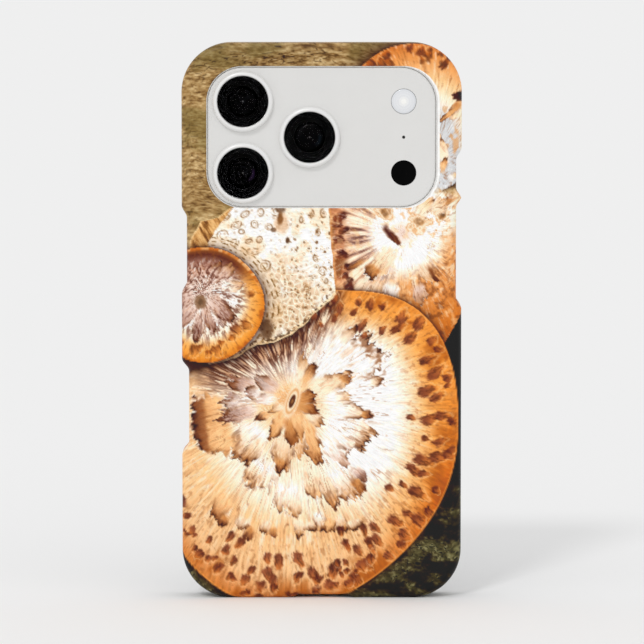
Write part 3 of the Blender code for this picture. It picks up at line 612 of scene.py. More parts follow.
def paint_side(x, z):
    """The cap at the right: a dark spotted rim down its left, white about a slit, mottled orange below."""
    cap = SIDE
    t, angle = cap.growth(x, z)
    dx, dz = x - cap.umbo[0], z - cap.umbo[1]
    reach = np.hypot(dx, dz)
    way = np.arctan2(dz, dx)
    from_rim = x - rim_line(z)
    coat = stops(reach / MM, (0, PINK), (4, WHITE), (13, WHITE), (16, CREAM), (20, PEACH))
    left = step(-0.1, -0.6, np.cos(way)) * step(7.5 * MM, 11 * MM, reach)
    strands = layered(way * 15, reach / (6 * MM), 141, 4)
    streaked = stops(
        strands, (0.28, MAROON), (0.38, MAUVE), (0.47, rgb(202, 152, 122)), (0.55, rgb(226, 190, 160)),
        (0.72, CREAM),
    )
    coat = mix(coat, streaked, left * 0.8)
    rim = step(5.4 * MM, 2.4 * MM, from_rim)
    blot = layered(x / (2.4 * MM), z / (2.9 * MM), 151, 3)
    blotched = stops(blot, (0.3, rgb(216, 150, 106)), (0.48, rgb(176, 106, 68)), (0.66, BROWN))
    coat = mix(coat, blotched, rim * 0.8)
    random = np.random.default_rng(157)
    for height in np.arange(82, 107, 2.3) + 1.6 * random.random(11):
        drift, size = random.random(2)
        spot = np.array([rim_line(np.array([height * MM]))[0] + (1.2 + 2.6 * drift) * MM, height * MM])
        length, width = (2.2 + 2.2 * size) * MM, (1.6 + 1.2 * size) * MM
        tones = (rgb(90, 40, 28), rgb(150, 84, 54))
        teardrop(coat, x, z, spot, 160 + 60 * drift, length, width, *tones, int(9 * height))
    coat = mix(coat, rgb(214, 150, 92), step(0.9 * MM, 0.2 * MM, from_rim) * 0.8)
    warm = step(0.25, 0.9, np.cos(way - math.radians(-52)))
    warm = warm * step(8 * MM, 15 * MM, reach + 3 * MM * (strands - 0.5))
    mottle = layered(x / (1.5 * MM), z / (1.5 * MM), 161, 4)
    amber = stops(
        reach / MM, (8, PEACH), (16, rgb(222, 152, 90)), (26, rgb(208, 124, 52)), (32, rgb(190, 104, 36))
    )
    amber = mix(amber, CREAM, step(0.56, 0.72, mottle) * step(28 * MM, 14 * MM, reach) * 0.7)
    amber = mix(amber, BROWN, step(0.46, 0.30, mottle) * 0.75)
    coat = mix(coat, amber, warm)
    hair = cap.hairs(t, angle, 0.5, 1)
    crinkle = layered(x / (0.9 * MM), z / (0.9 * MM), 171, 3)
    patchy = step(0.4, 0.6, layered(x / (3 * MM), z / (3 * MM), 175, 3))
    coat = mix(coat, BROWN, step(0.42, 0.22, hair) * 0.35 * patchy)
    coat = mix(coat, WHITE, step(0.6, 0.78, hair) * 0.3)
    coat = mix(coat, PEACH, step(0.5, 0.66, crinkle) * patchy * 0.45)
    upper = step(102 * MM, 107 * MM, z + 0.5 * (x - 22 * MM))
    coat = mix(coat, TAN, step(0.54, 0.68, crinkle) * upper * 0.6)
    for place, size in (((17.2, 106.8), 4.4), ((26.4, 104.0), 5.6), ((33.4, 106.0), 3.6)):
        pit(coat, x, z, np.array(place) * MM, size * MM)
    cap.scales(coat, x, z, SIDE_SCALES, 700)
    coat = mix(coat, rgb(128, 76, 48), cap.creases(t, angle, 41) * step(26 * MM, 18 * MM, reach) * 0.4)
    slit = np.array([16.4, 103.8]) * MM
    shape = {"bow": 0.1, "narrow": 0.25, "torn": 0.25}
    flake(coat, x, z, slit, -52, 7.4 * MM, 1.9 * MM, (MAROON, BROWN), 0.6, seed=7, **shape)
    rows = ((0.86, -75, -20, 12, 0.6, 2.6, 2.0), (0.95, -78, -25, 10, 0.6, 2.6, 2.0))
    cap.spots(coat, x, z, rows, (rgb(120, 64, 42), BROWN, RUST))
    return coat


def pit(coat, x, z, centre, size):
    """A round pit: a tan ring in crinkled rings of cream, dark brown in the middle."""
    wander = layered(x / (1.6 * MM), z / (1.6 * MM), 181, 4)
    gap = np.hypot(x - centre[0], z - centre[1]) / (0.5 * size) + 1.5 * (wander - 0.5)
    rings = stops(
        gap, (0, rgb(96, 62, 34)), (0.3, rgb(150, 104, 62)), (0.55, rgb(206, 160, 112)), (0.8, CREAM),
        (1.0, TAN), (1.2, CREAM),
    )
    coat[:] = mix(coat, rings, step(1.4, 0.9, gap) * 0.8)


def rim_line(z):
    """The left rim of the side cap: nearly straight down, leaning a little to the right."""
    wander = 0.35 * MM * (value_noise(z / (2.2 * MM), np.zeros_like(z), 191) - 0.5)
    return 1.8 * MM + 0.082 * (108.5 * MM - z) + wander


# The torn scales of the corner cap: the root's place in mm, way, length, width, tones, how dark the edge is.
TOP_SCALES = (
    ((40.4, 138.6), 186, 4.2, 3.0, (DARK, MAROON), 1.0),
    ((38.8, 137.6), 228, 5.4, 2.4, (TAN, PEACH), 1.2),
    ((39.4, 136.8), 216, 8.6, 2.2, (TAN, PEACH), 1.2),
    ((39.6, 134.6), 206, 5.0, 2.0, (CREAM, PEACH), 0.8),
    ((34.0, 119.4), 104, 8.6, 3.2, (CREAM, PEACH), 1.1),
    ((32.8, 118.2), 70, 4.0, 2.6, (PEACH, TAN), 0.9),
    ((31.6, 123.0), 96, 5.0, 1.4, (TAN, BROWN), 1.0),
    ((34.4, 115.4), 30, 3.6, 1.8, (WHITE, PEACH), 0.8),
)


def paint_top(x, z):
    """The cap at the top right corner: an orange rim with brown teeth, paling inward to a cool white."""
    cap = TOP
    t, angle = cap.growth(x, z)
    cool = rgb(204, 205, 206)
    near_rim = t - 0.6 * step(-0.2, -0.7, np.sin(angle))
    coat = stops(
        near_rim, (0, cool), (0.42, cool), (0.56, CREAM), (0.70, PEACH), (0.86, rgb(226, 156, 92)),
        (1, rgb(206, 122, 56)),
    )
    hair = cap.hairs(t, angle, 0.5, 1)
    coat = mix(coat, BROWN, step(0.44, 0.2, hair) * 0.5)
    coat = mix(coat, WHITE, step(0.6, 0.8, hair) * 0.4)
    crease = layered(x / (1.6 * MM), z / (2.6 * MM), 201, 4)
    coat = mix(coat, TAN, step(0.56, 0.66, crease) * step(0.62, 0.4, t) * 0.7)
    rows = ((0.87, 50, 150, 10, 0.9, 3.4, 2.0), (0.94, 50, 150, 8, 0.9, 2.6, 2.0))
    cap.spots(coat, x, z, rows, (rgb(120, 62, 38), BROWN, RUST))
    for place, way, length, width, tones, edge in TOP_SCALES:
        root, size = np.array(place) * MM, np.array([length, width]) * MM
        flake(coat, x, z, root, way, *size, tones, edge, torn=0.3, gap=0.2 * MM, seed=900 + way)
    return coat, t


# ---------------------------------------------------------------- wood and the porous sheet


def paint_bark(x, z):
    """Upper bark, olive brown: fine slanting grain, thin dark cracks and pale chips."""
    bend = layered(x / (16 * MM), z / (16 * MM), 401, 3)
    u, v = x / (5 * MM), z / (1.0 * MM) + 5 * bend + 0.25 * x / MM * 0.3
    grain = layered(u, v, 402, 4)
    speck = layered(x / (1.1 * MM) + 0.8 * bend, z / (0.34 * MM) + 2 * bend, 430, 3)
    broad = layered(x / (11 * MM), z / (7 * MM), 410, 3)
    tone = 0.45 * grain + 0.55 * speck
    coat = stops(
        tone, (0.28, rgb(104, 76, 44)), (0.44, rgb(156, 124, 80)), (0.56, rgb(184, 154, 108)),
        (0.74, rgb(220, 194, 148)),
    )
    coat = mix(coat, rgb(122, 108, 62), step(0.5, 0.76, broad) * 0.5)
    top = step(142 * MM, 151 * MM, z) * step(14 * MM, -6 * MM, np.abs(x + 18 * MM) - 14 * MM)
    coat = coat * (0.96 - 0.07 * top)[:, None]
    near, second, _ = cells(x / (4.2 * MM) + 1.5 * grain, z / (1.7 * MM) + 2.4 * bend, 420)
    crack = step(0.10, 0.02, second - near) * step(0.45, 0.6, layered(x / (3 * MM), z / (3 * MM), 440, 3))
    return mix(coat, rgb(46, 30, 18), crack * (0.35 + 0.5 * top))


def paint_moss(x, z):
    """Lower bark: warm black with green-grey mossy blotches and fine cracks."""
    broad = layered(x / (5 * MM), z / (3 * MM), 501, 4)
    fine = layered(x / (0.9 * MM), z / (0.7 * MM), 510, 4)
    coat = stops(broad, (0.3, rgb(34, 29, 18)), (0.5, rgb(68, 60, 40)), (0.66, rgb(98, 93, 64)))
    coat = coat * (0.45 + 1.1 * fine)[:, None]
    coat = mix(coat, rgb(150, 146, 108), step(0.54, 0.76, fine) * step(0.4, 0.6, broad) * 0.6)
    near, second, _ = cells(x / (3.4 * MM) + 1.6 * fine, z / (2.2 * MM) + 1.4 * broad, 520)
    coat = coat * (1 - 0.7 * step(0.12, 0.02, second - near) * step(0.4, 0.6, fine + 0.1))[:, None]
    return coat * (0.06 + 0.94 * step(40 * MM, 29 * MM, z + 4 * MM * (broad - 0.5)))[:, None]


# The ovals on the porous sheet: centre, width and height in mm, and turn in degrees.
PORES = (
    (-23.9, 98.3, 2.4, 2.0, 20), (-20.0, 98.7, 1.9, 1.3, 10), (-17.1, 99.2, 1.9, 1.6, 60),
    (-18.8, 95.9, 3.6, 1.8, 0), (-15.8, 92.0, 3.8, 3.0, 20), (-18.4, 103.4, 1.8, 2.2, 40),
    (-14.5, 102.7, 2.0, 1.6, 0), (-23.4, 103.2, 3.0, 1.8, 20), (-22.0, 101.4, 1.6, 1.3, 0),
    (-21.0, 106.2, 2.6, 1.6, 30), (-16.7, 106.7, 1.8, 2.2, 0), (-27.2, 100.3, 3.2, 3.0, 40),
    (-26.0, 105.4, 2.2, 1.2, 40), (-12.6, 107.0, 2.4, 2.6, 0), (-2.6, 106.2, 1.1, 2.2, 0),
    (0.4, 106.4, 1.5, 2.4, 10), (-1.0, 101.2, 1.3, 1.9, 0), (0.3, 90.6, 2.0, 2.4, 10),
    (-1.6, 94.0, 1.4, 1.8, 40), (-5.6, 104.6, 1.0, 1.6, 0), (-4.0, 85.8, 1.6, 1.6, 0),
    (1.2, 87.8, 1.2, 1.4, 0),
)
# The stains on the porous sheet: centre, half width and half height in mm, and strength.
STAINS = (
    (-11.4, 104.9, 1.0, 1.9, 0.9), (-11.2, 107.6, 1.6, 1.3, 0.7), (-13.2, 101.9, 0.9, 0.7, 0.7),
    (-9.3, 99.0, 0.75, 1.0, 0.9), (-11.0, 103.6, 2.2, 3.4, 0.45), (-15.2, 74.6, 2.2, 3.4, 0.75),
)
# The left edges of the porous sheet and of the strip of wood beside it: z and x in mm.
SHEET_EDGE = ((60, -31.2), (95.8, -31.2), (98.2, -31.4), (102.5, -28.7), (108.5, -23.9), (114, -20))
LEAF_EDGE = (
    (90, -39), (95.6, -37.2), (100.2, -35.6), (104.2, -33.2), (105.2, -28.6), (108.4, -24.6), (114, -20),
)
# The porous sheet's lower lip: x and z in mm.
LIP = (
    (-40, 62), (-24, 66.5), (-17.5, 70.4), (-13.5, 70.7), (-8.7, 72.6),
    (-4.3, 76.2), (-2.5, 78.3), (0.0, 80.4), (2.6, 82.6), (4.0, 84.0),
)


def paint_pores(x, z):
    """The pale underside: bright cream, ovals of thin brown line, small dark pores, a net below."""
    fine = layered(x / (0.8 * MM), z / (0.8 * MM), 620, 3)
    broad = layered(x / (6.5 * MM), z / (6.5 * MM), 630, 3)
    coat = mix(rgb(250, 246, 240), rgb(242, 214, 182), step(0.46, 0.68, broad) * 0.7)
    coat = mix(coat, rgb(222, 184, 140), step(0.58, 0.76, fine) * (0.1 + 0.4 * step(0.45, 0.65, broad)))
    right = step(-16 * MM, -8 * MM, x + 0.4 * (90 * MM - z))
    bend = 0.5 * layered(x / (4 * MM), z / (4 * MM), 641, 2)
    near, _, value = cells(x / (1.75 * MM) + bend, z / (1.9 * MM) + bend, 640, 0.8)
    size = 0.12 + 0.16 * value
    mark = step(size + 0.04, size - 0.08, near + 0.35 * (fine - 0.5)) * (value > 0.2)
    coat = mix(coat, rgb(120, 80, 44), mark * step(0.46, 0.6, fine + 0.2 * value) * (0.3 + 0.5 * right))
    halo = bell(near - size - 0.14, 0.06) * step(0.4, 0.6, fine)
    coat = mix(coat, rgb(206, 166, 120), halo * (0.15 + 0.5 * right))
    net = step(14 * MM, 5 * MM, np.hypot(x + 9 * MM, (z - 80 * MM) * 0.7))
    near, second, _ = cells(x / (1.5 * MM) + bend, z / (1.7 * MM) + bend, 650, 0.9)
    coat = mix(coat, rgb(176, 134, 90), net * step(0.06, 0.3, second - near) * 0.32)
    coat = mix(coat, rgb(128, 90, 56), net * step(0.3, 0.12, near) * step(0.4, 0.6, fine) * 0.5)
    coat = mix(coat, rgb(252, 240, 216), net * step(0.12, 0.03, second - near) * 0.8)
    for seed, (px, pz, width, height, turn) in enumerate(PORES):
        ring_mark(coat, x, z, (px * MM, pz * MM), width * MM, height * MM, turn, rgb(132, 92, 52), 660 + seed)
    by_small = SMALL.growth(x, z)[0]
    rows = 0.5 + 0.5 * np.cos((by_small - 1.06) * 2 * np.pi / 0.085)
    about = np.arctan2(z - SMALL.centre[1], x - SMALL.centre[0])
    dashes = step(0.45, 0.62, value_noise(about * 22, by_small * 11, 671))
    band = step(1.02, 1.06, by_small) * step(1.34, 1.24, by_small)
    coat = mix(coat, rgb(230, 194, 146), band * 0.35)
    coat = mix(coat, rgb(130, 94, 46), band * step(0.55, 0.9, rows) * dashes * 0.85)
    for px, pz, width, height, strength in STAINS:
        gap = np.hypot((x - px * MM) / (width * MM), (z - pz * MM) / (height * MM)) + 0.6 * (fine - 0.5)
        stain = rgb(86, 54, 30) if strength > 0.5 else rgb(190, 128, 70)
        coat = mix(coat, stain, step(1.15, 0.5, gap) * strength)
    lip = lip_distance(x, z)
    coat = mix(coat, rgb(238, 206, 160), step(-1.6 * MM, -0.5 * MM, lip) * 0.7)
    frill = step(0.5, 0.62, layered(x / (0.7 * MM), z / (0.5 * MM), 681, 2)) * step(-2.4 * MM, -0.7 * MM, lip)
    return mix(coat, rgb(66, 40, 22), frill * step(-0.2 * MM, -0.7 * MM, lip) * 0.8)


def lip_distance(x, z):
    """How far a place lies below the porous sheet's lower lip, a line that rises in steps to the right."""
    lip = np.interp(x / MM, *zip(*LIP))
    wander = 0.5 * (value_noise(x / (1.3 * MM), np.zeros_like(x), 691) - 0.5)
    return (lip + wander) * MM - z


def sheet_cover(x, z):
    """1 on the porous sheet: right of its slanting upper left edge, left of the side cap, above its lip."""
    wander = 0.9 * MM * (layered(x / (2.5 * MM), z / (2.5 * MM), 701, 3) - 0.5)
    left = np.interp(z / MM, *zip(*SHEET_EDGE)) * MM
    across = step(-0.15 * MM, 0.15 * MM, x - left + wander) * step(0.1 * MM, -0.1 * MM, x - rim_line(z))
    return across * step(0.15 * MM, -0.15 * MM, lip_distance(x, z)) * step(116 * MM, 115 * MM, z)


def leaf_cover(x, z):
    """1 on the tan strip of wood by the sheet's upper left edge, and the distance from its own left edge."""
    wander = 0.7 * MM * (layered(x / (1.5 * MM), z / (3 * MM), 711, 3) - 0.5)
    left = np.interp(z / MM, *zip(*LEAF_EDGE)) * MM
    return step(-0.1 * MM, 0.15 * MM, x - left + wander) * step(112 * MM, 110 * MM, z), x - left + wander


def paint(x, z):
    """The whole print, from the back to the front: wood, porous sheet and the caps, each with its shadow."""
    x, z = np.asarray(x, float), np.asarray(z, float)
    coat = mix(paint_bark(x, z), paint_moss(x, z), step(86 * MM, 74 * MM, z - 0.2 * x))
    cover, from_edge = leaf_cover(x, z)
    streak = layered((x + 0.6 * z) / (0.7 * MM), (z - 0.6 * x) / (4 * MM), 721, 4)
    wood = stops(streak, (0.3, rgb(120, 78, 38)), (0.5, rgb(190, 140, 84)), (0.7, rgb(226, 182, 124)))
    wood = mix(wood, rgb(240, 208, 158), step(0.7 * MM, 0.2 * MM, from_edge) * 0.8)
    coat = mix(coat, wood, cover * step(76 * MM, 80 * MM, z))
    coat = lay_cap(coat, x, z, TOP, paint_top, 1.2, step(111 * MM, 114 * MM, z + 2 * MM * (streak - 0.5)))
    below = (z - 70.5 * MM) * 4.7 - (x - 33.7 * MM) * 8.2 > 0
    inside = (x > rim_line(z)) & below & (z > 60 * MM)
    fade = step(114 * MM, 111 * MM, z + 2 * MM * (streak - 0.5))
    coat = mix(coat, paint_side(x, z), inside * fade)
    sheet = sheet_cover(x, z)
    coat = mix(coat, paint_pores(x, z), sheet)
    large = lay_cap(coat, x, z, LARGE, paint_large, 1.0, 1.0)
    coat = np.where((sheet > 0.5)[:, None], coat, large)
    coat = lay_cap(coat, x, z, SMALL, paint_small, 1.1, 1.0)
    coat = np.clip(MIDDLE_TONE + CONTRAST * (coat - MIDDLE_TONE), DARKEST_TONE, 1)
    # Painted highlight: bare plastic white on a strip right of the camera opening, the side the key light
    # falls on.
    return mix(coat, BARE_PLASTIC, painted_highlight_strip(x, z))


def painted_highlight_strip(x, z):
    """1 on a narrow strip to the right of the camera opening, left bare white plastic there only, as a painted
    highlight on the side the key light falls on.
    """
    half_width, half_height, radius = OPENING
    past_x, past_z = np.abs(x) - half_width + radius, np.abs(z - OPENING_Z) - half_height + radius
    outside = np.hypot(np.clip(past_x, 0, None), np.clip(past_z, 0, None)) - radius
    width = 0.8 * MM * np.clip((x - half_width + radius) / radius, 0, 1)
    return step(0.05 * MM, -0.05 * MM, outside - width) * (width > 0)


def lay_cap(coat, x, z, cap, painter, shade, share):
    """Lays a cap on the coat, with a shadow past its rim that fades over a length shade (mm)."""
    colour, t = painter(x, z)
    past = np.clip(t - 1, 0, None) * cap.radius
    coat = mix(coat, DARK, np.exp(-past / (shade * MM)) * (t >= 1) * 0.75 * share)
    return mix(coat, colour, step(1.004, 0.996, t) * share)


def growth_coordinates(x, z):
    """Coordinates for streaks: across the growth they change fast, along it slowly, by the topmost cap."""
    across, along = x / (1.2 * MM), z / (0.5 * MM)
    for cap in (SIDE, TOP, LARGE, SMALL):
        t, angle = cap.growth(x, z)
        inside = t < 1
        across = np.where(inside, angle * cap.radius * 0.6 / (0.45 * MM), across)
        along = np.where(inside, t * cap.radius / (3.0 * MM), along)
    return np.stack([across, along, np.zeros_like(x)], axis=-1)


# ---------------------------------------------------------------- surfaces


def put_mesh(name, vertices, faces, sharp=SHARP_ANGLE):
    """A mesh object at the origin from an array of points and lists of faces."""
    mesh = bpy.data.meshes.new(name)
    mesh.from_pydata(vertices.tolist(), [], [list(face) for face in faces])
    mesh.validate()
    mesh.shade_smooth()
    mesh.set_sharp_from_angle(angle=sharp)
    piece = bpy.data.objects.new(name, mesh)
    bpy.context.scene.collection.objects.link(piece)
    return piece


def close_mesh(mesh):
    """Joins points that meet at a seam or a pole, and turns every face outwards."""
    bm = bmesh.new()
    bm.from_mesh(mesh)
    bmesh.ops.remove_doubles(bm, verts=bm.verts, dist=1e-7)
    bmesh.ops.recalc_face_normals(bm, faces=bm.faces)
    bm.to_mesh(mesh)
    bm.free()
    mesh.shade_smooth()
    mesh.set_sharp_from_angle(angle=SHARP_ANGLE)


def grid_faces(rows, columns, first=0, turned=False, wrap=False):
    """Corner numbers of each cell of a grid stored row by row; wrap joins the last row to the first."""
    i, j = np.meshgrid(np.arange(rows if wrap else rows - 1), np.arange(columns - 1), indexing="ij")
    below = (i + 1) % rows
    corners = [i * columns + j, below * columns + j, below * columns + j + 1, i * columns + j + 1]
    if turned:
        corners.reverse()
    return first + np.stack(corners, axis=-1).reshape(-1, 4)


def spans(breaks, spacing):
    """Values from the first break to the last, at about the spacing, that hit every break."""
    values = [np.array(breaks[:1], float)]
    for low, high in zip(breaks, breaks[1:]):
        steps = max(1, int(round(abs(high - low) / spacing)))
        values.append(np.linspace(low, high, steps + 1)[1:])
    return np.concatenate(values)


def ramp_depth(along, centre, half, depth):
    """Depth of a cut: full over its floor, and falling to nothing along half a cosine wave at each end."""
    share = np.clip(1 - (np.abs(along - centre) - half) / RAMP, 0, 1)
    return depth * (1 - np.cos(np.pi * share)) / 2


def side_depth(z, side):
    """Depth of the cuts in one side of the case at each height."""
    total = np.zeros_like(z)
    for cut_side, centre, length, depth in SIDE_CUTS:
        if cut_side == side:
            total = np.maximum(total, ramp_depth(z, centre, length / 2, depth))
    return total


def case_outline(spacing):
    """Points, outward normals and cut depths round the case, from the bottom's left end counter-clockwise.

    The outline is four straight runs joined by quarter circles. Returns x, z, normal x, normal z, depth.
    """
    reach, low, high = HALF_WIDTH - CASE_CORNER, CASE_CORNER, CASE_TOP - CASE_CORNER
    half, depth = PORT_CUT
    bottom = spans([-reach, -half - RAMP, -half, half, half + RAMP, reach], spacing)
    top = spans([reach, -reach], spacing)
    right, left = (spans(side_breaks(side, low, high), spacing) for side in (1, -1))
    arc = np.linspace(0, np.pi / 2, int(round(CASE_CORNER * np.pi / 2 / spacing)) + 1)[1:-1]

    def run(x, z, normal_x, normal_z, cut):
        return np.stack(np.broadcast_arrays(x, z, normal_x, normal_z, cut))

    def corner(x, z, start):
        normal_x, normal_z = np.cos(arc + start), np.sin(arc + start)
        return run(x + CASE_CORNER * normal_x, z + CASE_CORNER * normal_z, normal_x, normal_z, 0.0)

    parts = [
        run(bottom, 0.0, 0.0, -1.0, ramp_depth(bottom, 0, half, depth)),
        corner(reach, low, -np.pi / 2),
        run(HALF_WIDTH, right, 1.0, 0.0, side_depth(right, 1)),
        corner(reach, high, 0.0),
        run(top, CASE_TOP, 0.0, 1.0, 0.0),
        corner(-reach, high, np.pi / 2),
        run(-HALF_WIDTH, left[::-1], -1.0, 0.0, side_depth(left[::-1], -1)),
        corner(-reach, low, np.pi),
    ]
    return np.concatenate(parts, axis=1)


def side_breaks(side, low, high):
    """Heights on one side where a cut's floor or ramp starts or ends, with the ends of the straight run."""
    breaks = {low, high}
    for cut_side, centre, length, _ in SIDE_CUTS:
        if cut_side == side:
            breaks |= {centre + s * (length / 2 + extra) for s in (-1, 1) for extra in (0, RAMP)}
    return sorted(breaks)


def case_profile():
    """The wall's cross-section as rows of inset at the sides, inset at the ends, y and whether cuts move it.

    It runs from the flat back round the outer edge, over the lip and down the inside to the cavity's floor.
    """
    rows = [(WALL_START, BACK_Y + LAP), (FLAT_INSET, BACK_Y), (BACK_FILLET + STRIP / 2, BACK_Y)]
    for turn in np.linspace(0, np.pi / 2, 8):
        rows.append((BACK_FILLET * (1 - math.sin(turn)), BACK_Y + BACK_FILLET * (1 - math.cos(turn))))
    for y in spans([BACK_Y + BACK_FILLET, WINDOW_FLOOR_Y, FRONT_Y - FRONT_FILLET], 0.45 * MM)[1:]:
        rows.append((0.0, y))
    for turn in np.linspace(0, np.pi / 2, 6)[1:]:
        rows.append((FRONT_FILLET * (1 - math.cos(turn)), FRONT_Y - FRONT_FILLET * (1 - math.sin(turn))))
    outer = [(inset, inset, y, 1.0) for inset, y in rows]
    side, end = LIP_INSET
    inner = [
        (side - LIP_EDGE, end - LIP_EDGE, FRONT_Y, 0.0),
        (side - 0.3 * LIP_EDGE, end - 0.3 * LIP_EDGE, FRONT_Y - 0.3 * LIP_EDGE, 0.0),
        (side, end, FRONT_Y - LIP_EDGE, 0.0),
        (side, end, UNDER_LIP_Y, 0.0),
        (*WALL_INSET, UNDER_LIP_Y, 0.0),
    ]
    start = CAVITY_Y + CAVITY_FILLET
    for y in spans([UNDER_LIP_Y, start], 1.5 * MM)[1:]:
        inner.append((*WALL_INSET, y, 0.0))
    for y in (start - 0.5 * MM, start - 0.9 * MM, WINDOW_FLOOR_Y, CAVITY_Y + 0.15 * MM, CAVITY_Y):
        push = CAVITY_FILLET - math.sqrt(max(0.0, CAVITY_FILLET**2 - (start - y) ** 2))
        inner.append((WALL_INSET[0] + push, WALL_INSET[1] + push, y, 0.0))
    return np.array(outer + inner), len(outer)


def wall_surface(spacing):
    """The case's wall: its cross-section carried round its outline, with the side windows cut out.

    A point is outline - normal * (inset + cut depth), where the inset passes from the side's to the end's
    with the square of the normal's parts. A window is a block of cells left out, a ledge and two end faces.
    """
    x, z, nx, nz, depth = case_outline(spacing)
    profile, outer = case_profile()
    inset = profile[None, :, 0] * nx[:, None] ** 2 + profile[None, :, 1] * nz[:, None] ** 2
    inset = inset + profile[None, :, 3] * depth[:, None]
    px = x[:, None] - nx[:, None] * inset
    pz = z[:, None] - nz[:, None] * inset
    py = np.broadcast_to(profile[:, 2], px.shape)
    vertices = np.stack([px, py, pz], axis=-1).reshape(-1, 3)
    rows, columns = px.shape
    inner_ends = np.arange(rows) * columns
    inner_next = np.roll(inner_ends, -1)
    joint = np.stack([inner_ends, inner_ends + columns - 1, inner_next + columns - 1, inner_next], axis=-1)
    faces = grid_faces(rows, columns, wrap=True)
    row_of, column_of = faces[:, 0] // columns, faces[:, 0] % columns
    window_columns = np.where(np.isclose(profile[:, 2], WINDOW_FLOOR_Y))[0]
    first, last = window_columns[0], window_columns[-1]
    keep = np.ones(len(faces), bool)
    extra = []
    for side, centre, length, _ in SIDE_CUTS:
        inside = (nx == side) & (np.abs(z - centre) < length / 2 + 1e-7)
        ends = np.where(inside)[0]
        block = (row_of >= ends[0]) & (row_of < ends[-1]) & (column_of >= first) & (column_of < last)
        keep &= ~block
        strip = np.arange(ends[0], ends[-1])
        here, there = strip * columns, (strip + 1) * columns
        extra += np.stack([here + first, there + first, there + last, here + last], axis=-1).tolist()
        ring = np.arange(first, last + 1)
        extra.append((ends[0] * columns + ring).tolist())
        extra.append((ends[-1] * columns + ring)[::-1].tolist())
    # How far each point lies round the edge from the flat back, so that a print wraps without a streak.
    path = np.hypot(np.diff(profile[:, 0]), np.diff(profile[:, 2]))
    along = np.concatenate([[0.0], np.cumsum(path)]) - WALL_START
    along = along[None, :] - depth[:, None]
    unrolled = np.stack([x[:, None] + nx[:, None] * along, z[:, None] + nz[:, None] * along], axis=-1)
    # The print ends at the top of the lip, and the inside is bare plastic.
    printed = np.broadcast_to(np.arange(columns) < outer - 1, px.shape)
    faces = faces[keep].tolist() + joint[:, ::-1].tolist() + extra
    return vertices, faces, unrolled.reshape(-1, 2), printed.reshape(-1)


def half_opening(z, grow):
    """Half the camera opening's width at a height, with its edge moved out by grow."""
    half_width, half_height, radius = OPENING[0] + grow, OPENING[1] + grow, OPENING[2] + grow
    past = np.clip(np.abs(z - OPENING_Z) - (half_height - radius), 0, radius)
    return half_width - radius + np.sqrt(radius**2 - past**2)


def half_back(z, side):
    """How far the flat back reaches to one side at a height: the outline less the edge and the cuts."""
    radius = CASE_CORNER - FLAT_INSET
    past = np.clip(np.abs(z - CENTRE_Z) - (CENTRE_Z - CASE_CORNER), 0, radius)
    return HALF_WIDTH - CASE_CORNER + np.sqrt(radius**2 - past**2) - side_depth(z, side)


def heights(low, high, spacing, dense_low=0.0, dense_high=0.0):
    """Heights from low to high, drawn together along a quarter circle towards an end with a dense radius."""
    values = [spans([low, high], spacing)]
    angles = np.linspace(0, np.pi / 2, 60)
    if dense_low:
        values.append(low + dense_low * (1 - np.cos(angles)))
    if dense_high:
        values.append(high - dense_high * (1 - np.cos(angles)))
    merged = np.unique(np.clip(np.concatenate(values), low, high))
    kept = [merged[0]]
    for value in merged[1:]:
        near_end = (dense_low and value < low + 1.2 * MM) or (dense_high and value > high - 1.2 * MM)
        if value - kept[-1] > (0.02 * MM if near_end else 0.8 * spacing):
            kept.append(value)
    kept[-1] = high
    return np.array(kept)


def back_patches(spacing):
    """The flat back as patches, each a grid of heights by shares of the width between two side curves."""
    corner = CASE_CORNER - FLAT_INSET
    low, high = FLAT_INSET, CASE_TOP - FLAT_INSET
    gap = OPENING[1] + OPENING_ROUND
    open_low, open_high, open_corner = OPENING_Z - gap, OPENING_Z + gap, OPENING[2] + OPENING_ROUND
    middle = 0.5 * open_low
    wide = int(round(2 * (HALF_WIDTH - FLAT_INSET) / spacing)) + 1
    narrow = int(round((HALF_WIDTH - FLAT_INSET - OPENING[0] + 3.4 * MM) / spacing)) + 1
    lower = heights(low, middle, spacing, dense_low=corner)
    centre = heights(middle, open_low, spacing)
    beside = heights(open_low, open_high, spacing, open_corner, open_corner)
    above = heights(open_high, high, spacing, dense_high=corner)
    yield "printed_back_lower", [(lower, wide, -1, 1)]
    yield "printed_back_middle", [(centre, wide, -1, 1)]
    yield "printed_back_upper", [(beside, narrow, -1, None), (beside, narrow, None, 1), (above, wide, -1, 1)]


def patch_points(z, count, left, right):
    """Grid points of one patch: x = left edge + share * (right edge - left edge), y on the flat back.

    The lowest rows bend up over the port's cut.
    """
    start = -half_back(z, -1) if left == -1 else half_opening(z, OPENING_ROUND)
    end = half_back(z, 1) if right == 1 else -half_opening(z, OPENING_ROUND)
    share = np.linspace(0, 1, count)
    x = start[:, None] + share[None, :] * (end - start)[:, None]
    fade = np.clip(1 - (z - FLAT_INSET) / PORT_FADE, 0, 1)
    height = z[:, None] + fade[:, None] * ramp_depth(x, 0, PORT_CUT[0], PORT_CUT[1])
    return np.stack([x, np.full_like(x, BACK_Y), height], axis=-1).reshape(-1, 3)


